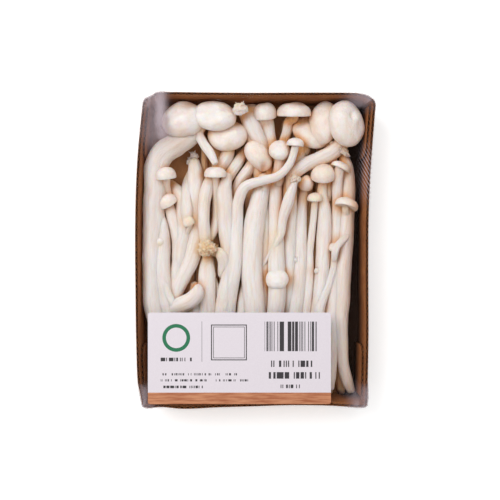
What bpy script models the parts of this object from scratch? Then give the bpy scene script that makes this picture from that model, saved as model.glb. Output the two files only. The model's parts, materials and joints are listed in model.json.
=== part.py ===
"""Enoki mushroom bunch in a folded corrugated card tray, under clear film with a paper label.

The tray stands on the XY plane with the caps towards +Y. Lengths are in millimetres until the meshes are
made. Every mushroom has a route in plan, from its cap to its foot, and settles from above on the tray and
on the mushrooms before it in the list, so the list runs from the bottom of the pile to its top.
"""

import math

import bmesh
import bpy
import numpy as np
from mathutils import Matrix, Vector
from mathutils.geometry import delaunay_2d_cdt

MM = 0.001

# Driving dimensions, in millimetres
TRAY_HEIGHT = 24.0
CARD = 1.6
FOOTPRINT_SHARE = 0.975
GAP = 0.4
FILM = 0.35
FILM_HEM = 1.0
LABEL_PAPER = 0.3
LABEL_LEFT = -58.0
LABEL_WIDTH = 100.0
LABEL_TOP = -33.7
LABEL_LENGTH = 50.0
FILM_CELL = 11.0
FILM_SHARE = 1.0145
FILM_SHOULDER = 0.955
TAB_ROOT = 80.0
TAB_LENGTH = 28.0
TAB_HEIGHT = 20.5
TAB_CORNER = 5.0
TAB_SUNK = 0.5
SPREAD = 1.02
PLUMP = 1.08
CAP_PLUMP = 1.04
LOW_STEMS = 17
LOW_STEM_WIDTH = 5.6
LOW_STEM_PITCH = 6.5
LOW_STEM_TOP = 73.0
LOW_STEM_UNEVEN = 12.0
LOW_STEM_TIP = 0.55
LONG_LOW_STEMS_LEFT = -34.0
LONG_LOW_STEMS_RIGHT = 47.0
SHORT_LOW_STEM_TOP = 32.0
LOW_STEM_SHIFT = -3.0
LOW_STEM_SWAY = 1.2
FOOT_LINE = -79.0
WALL_CHECK_HEIGHT = 9.0
WALL_ROOM = 0.4
FOOT_WALL = -82.1
HEAD_WALL = 83.8

# The clumps that the mushrooms grew in, and the lower stems one by one
CLUMPS = ["left_clump", "inner_left_clump", "inner_right_clump", "right_clump"]
CLUMPS += [f"low_stem_{k + 1}" for k in range(LOW_STEMS)]

# The rim of the tray in plan, anticlockwise from its foot-left corner: foot, right, head and left walls
FOOT_RIM = [(-61, -85.2), (-50, -85.6), (-38, -86.6), (-20, -85.8), (0, -85.2), (20, -84.6), (40, -84.8),
            (59, -85.6)]
RIGHT_RIM = [(62, -83), (62.4, -70), (62.8, -45), (62.7, -15), (62.8, 15), (63.6, 38), (64.8, 56),
             (66.2, 74), (66.6, 81)]
HEAD_RIM = [(64, 84), (59, 86), (52, 86.7), (26, 86.8), (0, 86.7), (-26, 86.9), (-51, 87), (-56, 85),
            (-60, 83)]
LEFT_RIM = [(-61.2, 79), (-62.6, 66), (-64, 50), (-64.9, 30), (-65.2, 5), (-65, -20), (-64.6, -50),
            (-63.6, -74)]
RIM = FOOT_RIM + RIGHT_RIM + HEAD_RIM + LEFT_RIM

# How finely the surfaces are faceted
STEM_BEVEL_RESOLUTION = 1
STEM_STEP = 9.5
LOW_STEM_STEP = 16.0
FEWEST_POINTS = 6
BALL_STEP = 1.4
SMALL_CAP_SIDES = 12
LARGE_CAP_SIDES = 16
LARGE_CAP = 15.0
SETTLE_ROUNDS = 4
GROWN_TOGETHER = 0.56
SUNK_IN_CAP = 0.5
STEEPEST = 0.45
STEEPEST_NECK = 0.9


class Cap:
    """A cap seen from above: its middle, width and thickness, and where its top points, in degrees."""

    def __init__(self, x, y, width, thickness, azimuth, elevation, oval=1.0):
        self.middle = np.array([x, y], float) * SPREAD
        self.radius = width / 2 * CAP_PLUMP
        self.thickness = thickness * CAP_PLUMP
        self.oval = oval
        a, e = math.radians(azimuth), math.radians(elevation)
        self.across = np.array([-math.sin(a), math.cos(a), 0.0])
        self.axis = np.array([math.cos(a) * math.cos(e), math.sin(a) * math.cos(e), math.sin(e)])
        self.sides = LARGE_CAP_SIDES if width > LARGE_CAP else SMALL_CAP_SIDES

    def joint(self):
        """Where the stem meets the underside, in plan."""
        return self.middle - self.axis[:2] * self.thickness * 0.5

    def profile(self, inset=0.0):
        """Radius and height from the top of the dome down its side, and back under the rim to the stem."""
        r, h = self.radius - inset, self.thickness - inset
        dome = [(0.0, h)]
        for angle in (24, 46, 68, 86):
            a = math.radians(angle)
            dome.append((r * math.sin(a) ** 0.86, h * 0.3 + (h - h * 0.3) * math.cos(a)))
        return dome + [(r * 0.93, h * 0.09 + inset), (r * 0.55, h * 0.17 + inset), (0.0, h * 0.2 + inset)]

    def frame(self):
        """Turns the cap's own +Z to its axis, and stretches an oval cap across its tilt."""
        turn = np.array(Vector((0, 0, 1)).rotation_difference(Vector(self.axis)).to_matrix())
        return turn @ (np.eye(3) + (self.oval - 1) * np.outer(self.across, self.across))


class Lump:
    """A torn end, a swelling or a tiny button on a stem: its middle, size across, along and up, and turn."""

    def __init__(self, x, y, across, along, up, turn=0.0, rise=0.0, ragged=0.12):
        self.middle = np.array([x, y], float) * SPREAD
        self.size = np.array([across, along, up]) / 2
        self.turn = math.radians(turn)
        self.rise = rise
        self.ragged = ragged


class Mushroom:
    """A stem along its route in plan, from the cap end to the foot, with its cap and lumps, in its clump.

    It stands off the floor by its lift, and nestles further than others into its own clump.
    """

    def __init__(self, clump, route, widths, cap=None, lumps=(), lift=0.0, nestle=0.0,
                 step=STEM_STEP):
        self.clump = CLUMPS.index(clump)
        self.cap = cap
        self.lumps = list(lumps)
        self.lift = lift
        self.nestle = nestle
        plan = [np.array(p, float) * SPREAD for p in route]
        if cap is not None:
            plan.insert(0, cap.joint())
        self.plan = spaced(smooth_route(plan), step)
        share = np.linspace(0, 1, len(self.plan))
        self.radii = np.interp(share, np.linspace(0, 1, len(widths)), widths) / 2 * PLUMP
        if cap is None:
            self.radii[0] *= 0.62
        self.radii[-1] *= 0.72


def smooth_route(points, steps=8):
    """A Catmull-Rom curve through points in plan."""
    ends = [2 * points[0] - points[1]] + list(points) + [2 * points[-1] - points[-2]]
    curve = []
    for i in range(1, len(ends) - 2):
        a, b, c, d = ends[i - 1:i + 3]
        for k in range(steps):
            t = k / steps
            curve.append(0.5 * (2 * b + (c - a) * t + (2 * a - 5 * b + 4 * c - d) * t ** 2
                                + (3 * b - a - 3 * c + d) * t ** 3))
    curve.append(ends[-2])
    return np.array(curve)


def spaced(curve, step):
    """Points at even steps along a curve, ends included."""
    lengths = np.r_[0, np.cumsum(np.linalg.norm(np.diff(curve, axis=0), axis=1))]
    count = max(FEWEST_POINTS, round(lengths[-1] / step) + 1)
    at = np.linspace(0, lengths[-1], count)
    return np.column_stack([np.interp(at, lengths, curve[:, k]) for k in range(2)])


def wall_share(z):
    """How large the leaning walls' outline is at a height, against the rim."""
    return FOOTPRINT_SHARE + (1 - FOOTPRINT_SHARE) * z / TRAY_HEIGHT


def wall_face(y, z, side):
    """The inner face of a long wall at a place along it and a height, without its tabs."""
    outline = sorted(RIGHT_RIM if side > 0 else LEFT_RIM + FOOT_RIM[:1], key=lambda place: place[1])
    xs = [place[0] for place in outline]
    ys = [place[1] for place in outline]
    return np.interp(y, ys, xs) * wall_share(z) - side * CARD


def wall_x(y, side):
    """The inner face of a long wall, tabs included, at the height where the pile is kept off it."""
    tab = CARD if abs(y) > TAB_ROOT - TAB_LENGTH - 1 else 0.0
    return wall_face(y, WALL_CHECK_HEIGHT, side) - side * tab


def push_inside(places, radius):
    """The shift in plan that brings balls off the walls."""
    room = radius + WALL_ROOM
    left = max(wall_x(y, -1) + room - x for x, y in places)
    right = min(wall_x(y, 1) - room - x for x, y in places)
    foot = max(FOOT_WALL + room - y for x, y in places)
    head = min(HEAD_WALL - room - y for x, y in places)
    return np.array([max(left, 0) + min(right, 0), max(foot, 0) + min(head, 0)])


def settle(mushroom, placed):
    """Gives the stem's points and the cap their heights, on the tray and on the balls already placed."""
    radii = mushroom.radii
    plan = mushroom.plan
    rest = CARD + GAP
    for k in range(len(plan)):
        plan[k] += push_inside(plan[k:k + 1], radii[k])
    if mushroom.cap is not None:
        offsets, ball_radius = cap_balls(mushroom.cap)
        plan[0] += push_inside(plan[0] + offsets[:, :2], ball_radius)
    spans = np.linalg.norm(np.diff(plan, axis=0), axis=1)
    balls = []
    for k, span in enumerate(spans):
        for t in np.linspace(0, 1, max(2, math.ceil(span / BALL_STEP)), endpoint=False):
            balls.append((k, t))
    balls.append((len(spans) - 1, 1.0))
    index = np.array([b[0] for b in balls])
    part = np.array([b[1] for b in balls])
    xy = plan[index] * (1 - part[:, None]) + plan[index + 1] * part[:, None]
    r = radii[index] * (1 - part) + radii[index + 1] * part
    lowest = lowest_heights(xy, r, placed, mushroom, rest + mushroom.lift)
    heights = np.zeros(len(plan))
    if mushroom.cap is not None:
        joint = plan[0]
        ball_radii = np.full(len(offsets), ball_radius)
        under = lowest_heights(joint + offsets[:, :2], ball_radii, placed, mushroom, rest)
        heights[0] = max((under - offsets[:, 2]).max(), lowest[0])
    along = np.r_[0, np.cumsum(spans)]
    ball_along = along[index] * (1 - part) + along[index + 1] * part
    steep = np.abs(along[:, None] - ball_along[None, :]) * STEEPEST
    held = heights[0]
    heights = (lowest[None, :] - steep).max(axis=1)
    heights = np.maximum(heights, held - along * STEEPEST_NECK)
    for _ in range(SETTLE_ROUNDS):
        eased = heights.copy()
        eased[1:-1] = (heights[:-2] + 2 * heights[1:-1] + heights[2:]) / 4
        now = eased[index] * (1 - part) + eased[index + 1] * part
        short = np.maximum(lowest - now, 0)
        rise = np.zeros(len(plan))
        np.maximum.at(rise, index, short)
        np.maximum.at(rise, index + 1, short)
        heights = eased + rise
        if mushroom.cap is not None:
            heights[0] = max(heights[0], held)
    now = heights[index] * (1 - part) + heights[index + 1] * part
    heights += max((lowest - now).max(), 0)
    mushroom.points = np.column_stack([plan, heights])
    cloud = np.column_stack([xy, heights[index] * (1 - part) + heights[index + 1] * part, r])
    parts = [cloud]
    if mushroom.cap is not None:
        parts.append(np.column_stack([offsets + mushroom.points[0], np.full(len(offsets), ball_radius)]))
    for lump in mushroom.lumps:
        nearest = cloud[np.argmin(np.linalg.norm(xy - lump.middle, axis=1))]
        lump.centre = np.array([*lump.middle, nearest[2] + lump.rise])
        balls = lump_balls(lump)
        lump.centre[:2] += push_inside(balls[:, :2], balls[:, 3].max() * 1.2)
        balls = lump_balls(lump)
        others = placed[placed[:, 4] != mushroom.clump] if len(placed) else placed
        under = lowest_heights(balls[:, :2], balls[:, 3], others, mushroom, rest)
        lump.centre[2] = max(lump.centre[2], under.max())
        parts.append(lump_balls(lump))
    mushroom.balls = np.vstack(parts)
    return np.column_stack([mushroom.balls, np.full(len(mushroom.balls), mushroom.clump)])


def lowest_heights(xy, r, placed, mushroom, rest):
    """How low balls may lie on the floor, on other clumps, and sunk into the balls of their own clump."""
    lowest = rest + r
    if len(placed):
        apart = np.linalg.norm(xy[:, None, :] - placed[None, :, :2], axis=2)
        own = placed[None, :, 4] == mushroom.clump
        reach = r[:, None] + placed[None, :, 3]
        reach = np.where(own, reach * GROWN_TOGETHER, reach + GAP)
        above = np.sqrt(np.maximum(reach ** 2 - apart ** 2, 0))
        over = np.where(apart < reach, placed[None, :, 2] + above - own * mushroom.nestle, 0)
        lowest = np.maximum(lowest, over.max(axis=1))
    return lowest


def cap_balls(cap):
    """Small balls just under a cap's surface, from its joint, that stand for it while the pile settles."""
    ball = min(1.3, cap.thickness * 0.22)
    turn = cap.frame()
    found = []
    rings = cap.profile(inset=ball)
    for (r0, h0), (r1, h1) in zip(rings, rings[1:]):
        steps = max(1, math.ceil(math.hypot(r1 - r0, h1 - h0) / 1.5))
        for k in range(steps):
            radius = r0 + (r1 - r0) * k / steps
            height = h0 + (h1 - h0) * k / steps
            for turn_step in range(max(1, math.ceil(2 * math.pi * radius / 1.6))):
                a = 2 * math.pi * turn_step / max(1, math.ceil(2 * math.pi * radius / 1.6))
                found.append(turn @ np.array([radius * math.cos(a), radius * math.sin(a), height]))
    return np.array(found), ball


def lump_balls(lump):
    """Balls along a lump's longer side."""
    thin = lump.size.min() * (1 + lump.ragged)
    across, along = lump.size[0], lump.size[1]
    found = []
    for u in np.linspace(-1, 1, 9):
        for v in np.linspace(-1, 1, 9):
            if math.hypot(u, v) < 1.01:
                x = u * max(across - thin * 0.6, 0)
                y = v * max(along - thin * 0.6, 0)
                c, s = math.cos(lump.turn), math.sin(lump.turn)
                found.append([x * c - y * s, x * s + y * c, 0])
    return np.column_stack([np.array(found) + lump.centre, np.full(len(found), thin)])


def low_layer():
    """The lower stems, side by side across the tray, that the mushrooms in sight lie on."""
    random = np.random.default_rng(11)
    stems = []
    middle = (LOW_STEMS - 1) / 2
    for k in range(LOW_STEMS):
        x = (k - middle) * LOW_STEM_PITCH + LOW_STEM_SHIFT
        top = LOW_STEM_TOP - LOW_STEM_UNEVEN * random.random()
        if x < LONG_LOW_STEMS_LEFT or x > LONG_LOW_STEMS_RIGHT:
            top = SHORT_LOW_STEM_TOP
        along = np.linspace(top, FOOT_LINE / SPREAD, 6)
        route = [(x + LOW_STEM_SWAY * math.sin(y / 24) + random.uniform(-0.15, 0.15), y) for y in along]
        widths = LOW_STEM_WIDTH * random.uniform(0.88, 1.0, 4) * np.array([LOW_STEM_TIP, 0.9, 1, 1])
        stems.append(Mushroom(f"low_stem_{k + 1}", route, widths, step=LOW_STEM_STEP))
    return stems


def pile():
    """Every mushroom and bare stem in sight, from the bottom of the pile to its top."""
    left, inner_left, inner_right, right = CLUMPS[:4]
    return [
        # Deep in the pile
        Mushroom(left, [(-47, 38), (-41, 31), (-38.5, 22), (-39, 10), (-41, -4), (-39, -18)], (6, 8, 8, 7)),
        Mushroom(left, [(-35.6, 45), (-37, 37), (-37.4, 28), (-36.6, 16)], (4, 5.5, 6)),
        Mushroom(inner_left, [(-28, 64), (-22.6, 57), (-18, 50), (-16, 42), (-17, 34)], (3.6, 3.6)),
        Mushroom(inner_left, [(-4.5, 57), (-9, 49), (-14, 41), (-17.5, 33), (-18, 22)], (4.8, 4.8)),
        Mushroom(inner_left, [(-33, -18), (-32, -28), (-33, -40), (-33, -58)], (6, 7, 6)),
        Mushroom(right, [(27, 61), (25, 53), (22, 45), (20, 36), (20, 24), (20, 8), (19.4, -10), (19, -36)],
                 (6, 6.4, 6.2, 5.6)),
        Mushroom(inner_right, [(6.4, 31), (6.2, 18), (6.2, 4), (5.4, -12), (5, -36)], (4.6, 5.2, 5)),
        Mushroom(right, [(48.5, 56), (51, 49), (52.4, 40), (52.4, 30), (51.6, 19), (51, 8), (50.2, -4),
                         (49.2, -14), (49, -24), (47.8, -38), (48.5, -52), (50, -66), (55, -81)],
                 (5.5, 6.5, 7.2, 7.4, 7.2, 5.5, 5), lift=4),
        Mushroom(inner_right, [(-3, 70), (-1, 60), (1, 50), (3, 38), (2, 28)], (5, 4.5),
                 Cap(-1, 77.4, 11.6, 6.5, 90, 40), lift=3),
        Mushroom(right, [(46, 70), (45, 62), (44, 52), (42, 40), (41, 28)], (4.5, 4.5),
                 Cap(46, 77.4, 11, 6, 90, 40), lift=2),
        # The broad stems of the middle
        Mushroom(inner_left, [(-14.6, 42), (-16.4, 36), (-15.8, 28), (-15.2, 15), (-14, 5), (-12.6, -4),
                              (-12.6, -13), (-14.6, -22), (-16.5, -32), (-17, -44), (-17, -76)],
                 (6.5, 8, 8.6, 8, 6.8),
                 lumps=[Lump(-21, -72, 14, 8, 5)]),
        Mushroom(inner_left, [(-25.6, -2), (-26, -12), (-26, -24), (-25.8, -36), (-25.6, -55), (-25.5, -79)],
                 (7, 8.2, 8, 5.5)),
        Mushroom(inner_right, [(8, 41), (5.5, 36), (3.4, 29), (1.4, 20), (-0.2, 10), (-1, 0), (-1, -10),
                               (-0.4, -20), (0.6, -34), (1, -76)],
                 (7, 10, 10.2, 9.2, 6.8), lumps=[Lump(3, -72, 22, 8, 5)]),
        Mushroom(inner_right, [(12.8, 46), (12, 37), (11.8, 28), (12, 20), (12.2, 10), (12.2, 0), (12.2, -10),
                               (12.6, -24), (11.5, -38), (10, -74)], (5.6, 6.6, 8.2, 8.8, 7.4, 5.8)),
        Mushroom(inner_right, [(-5, -17), (-5.6, -26), (-6.4, -36), (-7, -50), (-8, -74)], (4.6, 6, 5)),
        Mushroom(right, [(37.4, 37), (38, 30), (39.4, 20), (39, 8), (38.4, -4), (37.6, -14),
                         (36, -28), (34.5, -42), (34, -77)], (3.6, 6.8, 7.2, 7, 6.4, 5.5),
                 Cap(38, 43, 13, 8, 92, 35), [Lump(34.6, -11, 3.2, 3.6, 3.0, rise=2.6, ragged=0.04),
                                              Lump(33, -72, 24, 8, 5)]),
        Mushroom(right, [(46, 42), (46, 35), (46.4, 27), (46, 16), (45.8, 4), (45.4, -8), (44.8, -18),
                         (43, -36), (42, -76)], (4.6, 5, 6.2, 6.6, 5), Cap(48, 46.5, 10.8, 4.2, 65, 0)),
        Mushroom(right, [(33, 26), (33, 20), (32.4, 12), (31.2, 4), (30.6, -4), (30.6, -14),
                         (29.4, -28), (27.8, -44), (27, -76)], (3, 3.4, 4.6, 5.2, 5.6, 5),
                 Cap(33.5, 29.6, 8.4, 4.6, 90, 12)),
        Mushroom(right, [(27.6, 33), (27, 25), (26, 14), (25.8, 4), (25.8, -6), (24.8, -16),
                         (23.4, -28), (22, -42), (23, -77)], (3.8, 5.4, 6, 6.8, 6.4, 5),
                 Cap(29, 38, 8.5, 7.5, 75, 45), [Lump(23, -5, 3.4, 3.4, 3.2, rise=1.6, ragged=0.04)]),
        # The left side
        Mushroom(left, [(-36, 62.4), (-43, 59), (-50, 54), (-55.6, 46), (-57.4, 34), (-58, 20),
                        (-58.6, 6), (-59, -8), (-57.8, -20), (-54.8, -31), (-52.5, -44), (-51, -76)],
                 (11, 11.4, 10, 9.8, 9.4, 7), Cap(-38.8, 75.8, 20.2, 11, 100, 66, oval=1.16),
                 [Lump(-44, -72, 19, 8, 5)], lift=4),
        Mushroom(left, [(-52, 21), (-50.6, 12), (-50.4, 2), (-50.8, -8), (-50, -18), (-48, -28),
                        (-45.6, -40), (-44.6, -54), (-43, -78)], (5, 8, 8.8, 8.4, 7.4, 5.5), nestle=2),
        Mushroom(left, [(-33.4, 50), (-32.6, 44), (-32.6, 34), (-32.4, 22), (-32, 12), (-32.6, 3), (-35, -5),
                        (-38.6, -13), (-42, -20), (-44, -29)],
                 (7.4, 7.4, 7.4, 7.6, 7.8, 7.6, 6), nestle=2, lumps=[
                     Lump(-33.4, 53.2, 4.6, 5.2, 4, 20, ragged=0.3), Lump(-36, 50, 4, 3, 3, 30, ragged=0.3)]),
        Mushroom(left, [(-30, -19), (-31.4, -23.6), (-35, -27), (-40, -29.4), (-46, -33)], (6, 7.5, 8, 7),
                 nestle=5),
        Mushroom(left, [(-36.8, 12), (-37.6, 4), (-38.4, -5), (-39, -12)], (2.8, 3, 3.2),
                 Cap(-36, 16.5, 6.5, 5, 110, 25), nestle=3),
        Mushroom(left, [(-48.6, 38), (-48, 33), (-46.6, 28), (-44.6, 23)], (3.9, 4.1, 3.8),
                 Cap(-48.5, 42.5, 11.5, 7, 95, 12), nestle=3),
        Mushroom(left, [(-47.4, 23.4), (-45, 18.4), (-42.6, 11.4), (-41.4, 3), (-41.4, -6), (-42.8, -15),
                        (-45, -24)], (4.8, 6, 6.6, 6.4, 5.5), Cap(-48.5, 27.8, 11.5, 6.5, 118, 20), nestle=4),
        Mushroom(left, [(-51.4, 2.6), (-51, -4), (-50, -11), (-48.8, -18), (-46, -25), (-43, -31),
                        (-40.5, -37), (-38, -60), (-38, -77)], (3, 3.2, 3.6, 4, 4.2),
                 Cap(-51.5, 5.4, 5.4, 4, 95, 22), nestle=1.5),
        # Between the left and the middle
        Mushroom(inner_left, [(-13.2, 57), (-16.4, 50.5), (-20.6, 44), (-24.6, 37), (-27, 28), (-27.4, 18),
                              (-26.8, 8), (-26, -2)], (6.4, 6.4, 5.4, 5),
                 Cap(-14.6, 64.4, 18.6, 8.5, 90, 66, oval=1.14), nestle=5),
        Mushroom(inner_left, [(-21, 39), (-20.6, 30), (-20.6, 20), (-22, 12), (-24.4, 6)],
                 (3.6, 4, 4.4, 4.2), Cap(-21, 43, 12, 6, 90, 10),
                 [Lump(-25.6, 1.6, 10, 9, 6.5, 20, ragged=0.26),
                  Lump(-21.4, -0.6, 6.4, 5.4, 5, -30, ragged=0.26)], nestle=3),
        Mushroom(inner_left, [(-20, 1), (-17.2, -3.4), (-16.6, -8.6), (-18.2, -14)], (4.8, 5.8, 4.4)),
        Mushroom(left, [(-26, 71), (-30.4, 64.6), (-27.4, 58.4), (-23.4, 52.6), (-21, 47.6)], (4.2, 4.4, 4),
                 Cap(-21.6, 77.2, 17, 8, 84, 66, oval=1.42), nestle=5.5),
        Mushroom(inner_left, [(-22, -13.5), (-20.6, -17), (-19.6, -24), (-18.6, -34), (-18, -46)],
                 (1.6, 1.8, 2.2), lumps=[Lump(-22, -13.2, 2.6, 2.6, 2.4, ragged=0.04)]),
        # The top edge
        Mushroom(right, [(29, 59), (27, 53)], (5.4, 5), Cap(32.2, 66.6, 19, 7, 60, 62, oval=1.12), nestle=3),
        Mushroom(inner_right, [(-5.6, 80), (-3.4, 75), (-1.2, 69), (2, 63), (5, 57), (7, 48), (8, 38)],
                 (9.5, 7.6, 6, 5, 4.5), lumps=[Lump(-7.4, 80.4, 8.6, 7, 5.5, 12, ragged=0.16),
                                               Lump(-1.5, 80.8, 8, 6, 5, -8, ragged=0.14)], nestle=5),
        Mushroom(inner_right, [(7.2, 73), (8, 66), (9.4, 59), (10.5, 50)], (6.4, 6, 5),
                 Cap(6, 79.6, 12.4, 9, 95, 24), nestle=4),
        Mushroom(right, [(19.8, 73), (18.2, 66), (16, 59), (14.5, 52)], (4.4, 4.2),
                 Cap(22, 79.4, 18.2, 8, 90, 12), nestle=3),
        Mushroom(right, [(41, 66), (42, 60), (43, 52)], (6, 5),
                 Cap(37.8, 72.8, 17.6, 8.5, 170, 64, oval=1.34), nestle=5),
        Mushroom(right, [(47, 57.4), (42, 54), (36.4, 51), (30.5, 48.4), (25, 45.6), (21, 40.6), (20, 33)],
                 (7.6, 7, 6.6, 6, 5), Cap(54.6, 69.4, 19.4, 9, 12, 68, oval=1.32),
                 [Lump(47.4, 56.4, 13, 4.8, 5.4, -38, rise=1, ragged=0.22)]),
        # On top
        Mushroom(inner_right, [(14.2, 50), (13.8, 43), (13.2, 36)], (4.6, 5, 5),
                 Cap(14, 55.5, 11.5, 6, 80, 62)),
        Mushroom(inner_right, [(5.4, 38), (5.4, 32)], (3.4, 3.4), Cap(5.4, 40.4, 6.6, 4, 90, 22)),
        Mushroom(inner_right, [(-0.6, 48.6), (-5, 42.4), (-9, 36), (-10, 28)], (4.8, 5, 4.4),
                 Cap(3, 53, 12.8, 8, 37, 60, oval=1.42), nestle=3),
        Mushroom(inner_left, [(21.8, 56), (20.8, 50.5), (17.8, 45), (13.5, 41), (8, 38.8), (1, 37.6),
                               (-4.4, 35.4), (-8, 30), (-9, 22), (-9.6, 12), (-9.8, 2),
                               (-10.4, -8), (-12, -18), (-13.6, -28), (-14, -42), (-12, -58)],
                 (3.4, 4, 5.2, 6.2, 6.6, 6.8, 5.5), Cap(22.5, 58.8, 9, 4.8, 85, 6), nestle=4),
        Mushroom(inner_right, [(22, 37), (20.4, 31), (17.4, 25), (15.8, 18), (14.8, 10), (12, 3.4), (8.4, -2),
                               (4.6, -9)], (4.6, 5.2, 4.6, 3.6, 2.4, 1.6),
                 lumps=[Lump(22.4, 38.6, 6, 5, 4.2, 30, ragged=0.25)]),
        Mushroom(inner_right, [(11.6, -21), (11, -27), (11, -36), (11, -60)], (4.8, 5.4, 4.6),
                 Cap(12.5, -15, 12, 5.5, 100, 72), nestle=3),
        Mushroom(right, [(51.4, 21.6), (50, 18), (47, 14.4), (43, 12.4)], (3.2, 3.4, 3.4),
                 Cap(51, 26, 12.5, 6, 75, -12), nestle=3),
        Mushroom(right, [(44, -0.6), (44, -7), (42.8, -14), (40, -20.4), (37.6, -27), (35.6, -35),
                         (36, -60)], (2.6, 3.2, 4.4, 5, 4.8), Cap(44, 2.2, 6.2, 4.2, 92, 20)),
        Mushroom(right, [(53, 10.4), (50.4, 7.4), (47.4, 4.6), (44.6, 1), (44, -5)], (2.8, 3.2, 3)),
    ]


def material(name, colour, roughness, alpha=1.0):
    """A plain finish: base colour in linear light."""
    made = bpy.data.materials.new(name)
    made.use_nodes = True
    shader = made.node_tree.nodes["Principled BSDF"]
    shader.inputs["Base Color"].default_value = (*colour, 1.0)
    shader.inputs["Roughness"].default_value = roughness
    shader.inputs["Alpha"].default_value = alpha
    return made


def add_object(name, mesh, collection, finish):
    """Links a mesh to the collection under its node's name."""
    made = bpy.data.objects.new(name, mesh)
    collection.objects.link(made)
    made.data.materials.clear()
    made.data.materials.append(finish)
    return made


def finished(name, mesh, collection, finish, modifiers=()):
    """Adds a mesh with modifiers, given as a type and its settings."""
    made = add_object(name, mesh, collection, finish)
    for kind, settings in modifiers:
        modifier = made.modifiers.new(kind.title(), kind)
        for key, value in settings.items():
            setattr(modifier, key, value)
    return made


def evaluated_mesh(made):
    """The mesh that an object shows, with its modifiers or its curve's bevel."""
    bpy.context.view_layer.update()
    seen = made.evaluated_get(bpy.context.evaluated_depsgraph_get())
    return bpy.data.meshes.new_from_object(seen)


def stem_mesh(mushroom, collection):
    """A tube along the settled points, thick and thin as the widths say, with its end caps welded on."""
    curve = bpy.data.curves.new("stem", "CURVE")
    curve.dimensions = "3D"
    curve.bevel_depth = MM
    curve.bevel_resolution = STEM_BEVEL_RESOLUTION
    curve.render_resolution_u = 0
    curve.use_fill_caps = True
    points = list(mushroom.points)
    radii = list(mushroom.radii)
    if mushroom.cap is not None:
        points.insert(0, points[0] + mushroom.cap.axis * mushroom.cap.thickness * SUNK_IN_CAP)
        radii.insert(0, radii[0])
    spline = curve.splines.new("POLY")
    spline.points.add(len(points) - 1)
    for target, place, radius in zip(spline.points, points, radii):
        target.co = (*(place * MM), 1.0)
        target.radius = radius
    guide = bpy.data.objects.new("stem_guide", curve)
    collection.objects.link(guide)
    mesh = evaluated_mesh(guide)
    bpy.data.objects.remove(guide)
    welded = bmesh.new()
    welded.from_mesh(mesh)
    bmesh.ops.remove_doubles(welded, verts=welded.verts, dist=MM * 0.005)
    bmesh.ops.recalc_face_normals(welded, faces=welded.faces)
    welded.to_mesh(mesh)
    welded.free()
    return mesh


def cap_mesh(cap, joint, collection):
    """A turned cap with gills as ridges under its rim, tilted to its axis."""
    profile = bpy.data.meshes.new("cap_profile")
    outline = cap.profile()
    edges = [(k, k + 1) for k in range(len(outline) - 1)]
    profile.from_pydata([(r * MM, 0, h * MM) for r, h in outline], edges, [])
    guide = bpy.data.objects.new("cap_guide", profile)
    collection.objects.link(guide)
    screw = guide.modifiers.new("Screw", "SCREW")
    screw.steps = cap.sides
    screw.render_steps = cap.sides
    screw.use_merge_vertices = True
    screw.merge_threshold = 0.00005
    mesh = evaluated_mesh(guide)
    bpy.data.objects.remove(guide)
    gill_ring = cap.radius * 0.55 * MM
    gill_depth = cap.thickness * 0.07 * MM
    for vertex in mesh.vertices:
        around = math.atan2(vertex.co.y, vertex.co.x) / (2 * math.pi) * cap.sides
        under = vertex.co.z < cap.thickness * 0.25 * MM
        if under and abs(vertex.co.xy.length - gill_ring) < gill_ring * 0.1 and round(around) % 2:
            vertex.co.z += gill_depth
    turned = bmesh.new()
    turned.from_mesh(mesh)
    bmesh.ops.remove_doubles(turned, verts=turned.verts, dist=MM * 0.005)
    bmesh.ops.recalc_face_normals(turned, faces=turned.faces)
    turned.transform(Matrix.Translation(Vector(joint * MM)) @ Matrix(cap.frame()).to_4x4())
    turned.to_mesh(mesh)
    turned.free()
    return mesh


def lump_mesh(lump):
    """A ragged ball, stretched to the lump's size."""
    shape = bmesh.new()
    bmesh.ops.create_icosphere(shape, subdivisions=2, radius=1.0)
    for vertex in shape.verts:
        x, y, z = vertex.co
        wave = math.sin(5.1 * x + 2.3 * z) * math.cos(4.3 * y - 1.7 * x) + 0.5 * math.sin(7.9 * y + 3.1 * z)
        vertex.co *= 1 + lump.ragged * 0.6 * wave
        vertex.co *= MM
    bmesh.ops.scale(shape, vec=lump.size, verts=shape.verts)
    turn = Matrix.Rotation(lump.turn, 4, "Z")
    shape.transform(Matrix.Translation(Vector(lump.centre * MM)) @ turn)
    mesh = bpy.data.meshes.new("lump")
    shape.to_mesh(mesh)
    shape.free()
    return mesh


def keep_outer_skin(mesh):
    """Keeps a fused mesh's outer skin, so that hollows sealed among the stems are filled."""
    shape = bmesh.new()
    shape.from_mesh(mesh)
    skins = []
    unseen = set(shape.verts)
    while unseen:
        skin = set()
        edge = [unseen.pop()]
        while edge:
            vertex = edge.pop()
            skin.add(vertex)
            near = [link.other_vert(vertex) for link in vertex.link_edges]
            fresh = [other for other in near if other in unseen]
            unseen.difference_update(fresh)
            edge.extend(fresh)
        skins.append(skin)
    largest = max(skins, key=len)
    inner = [vertex for skin in skins if skin is not largest for vertex in skin]
    bmesh.ops.delete(shape, geom=inner, context="VERTS")
    shape.to_mesh(mesh)
    shape.free()


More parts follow.
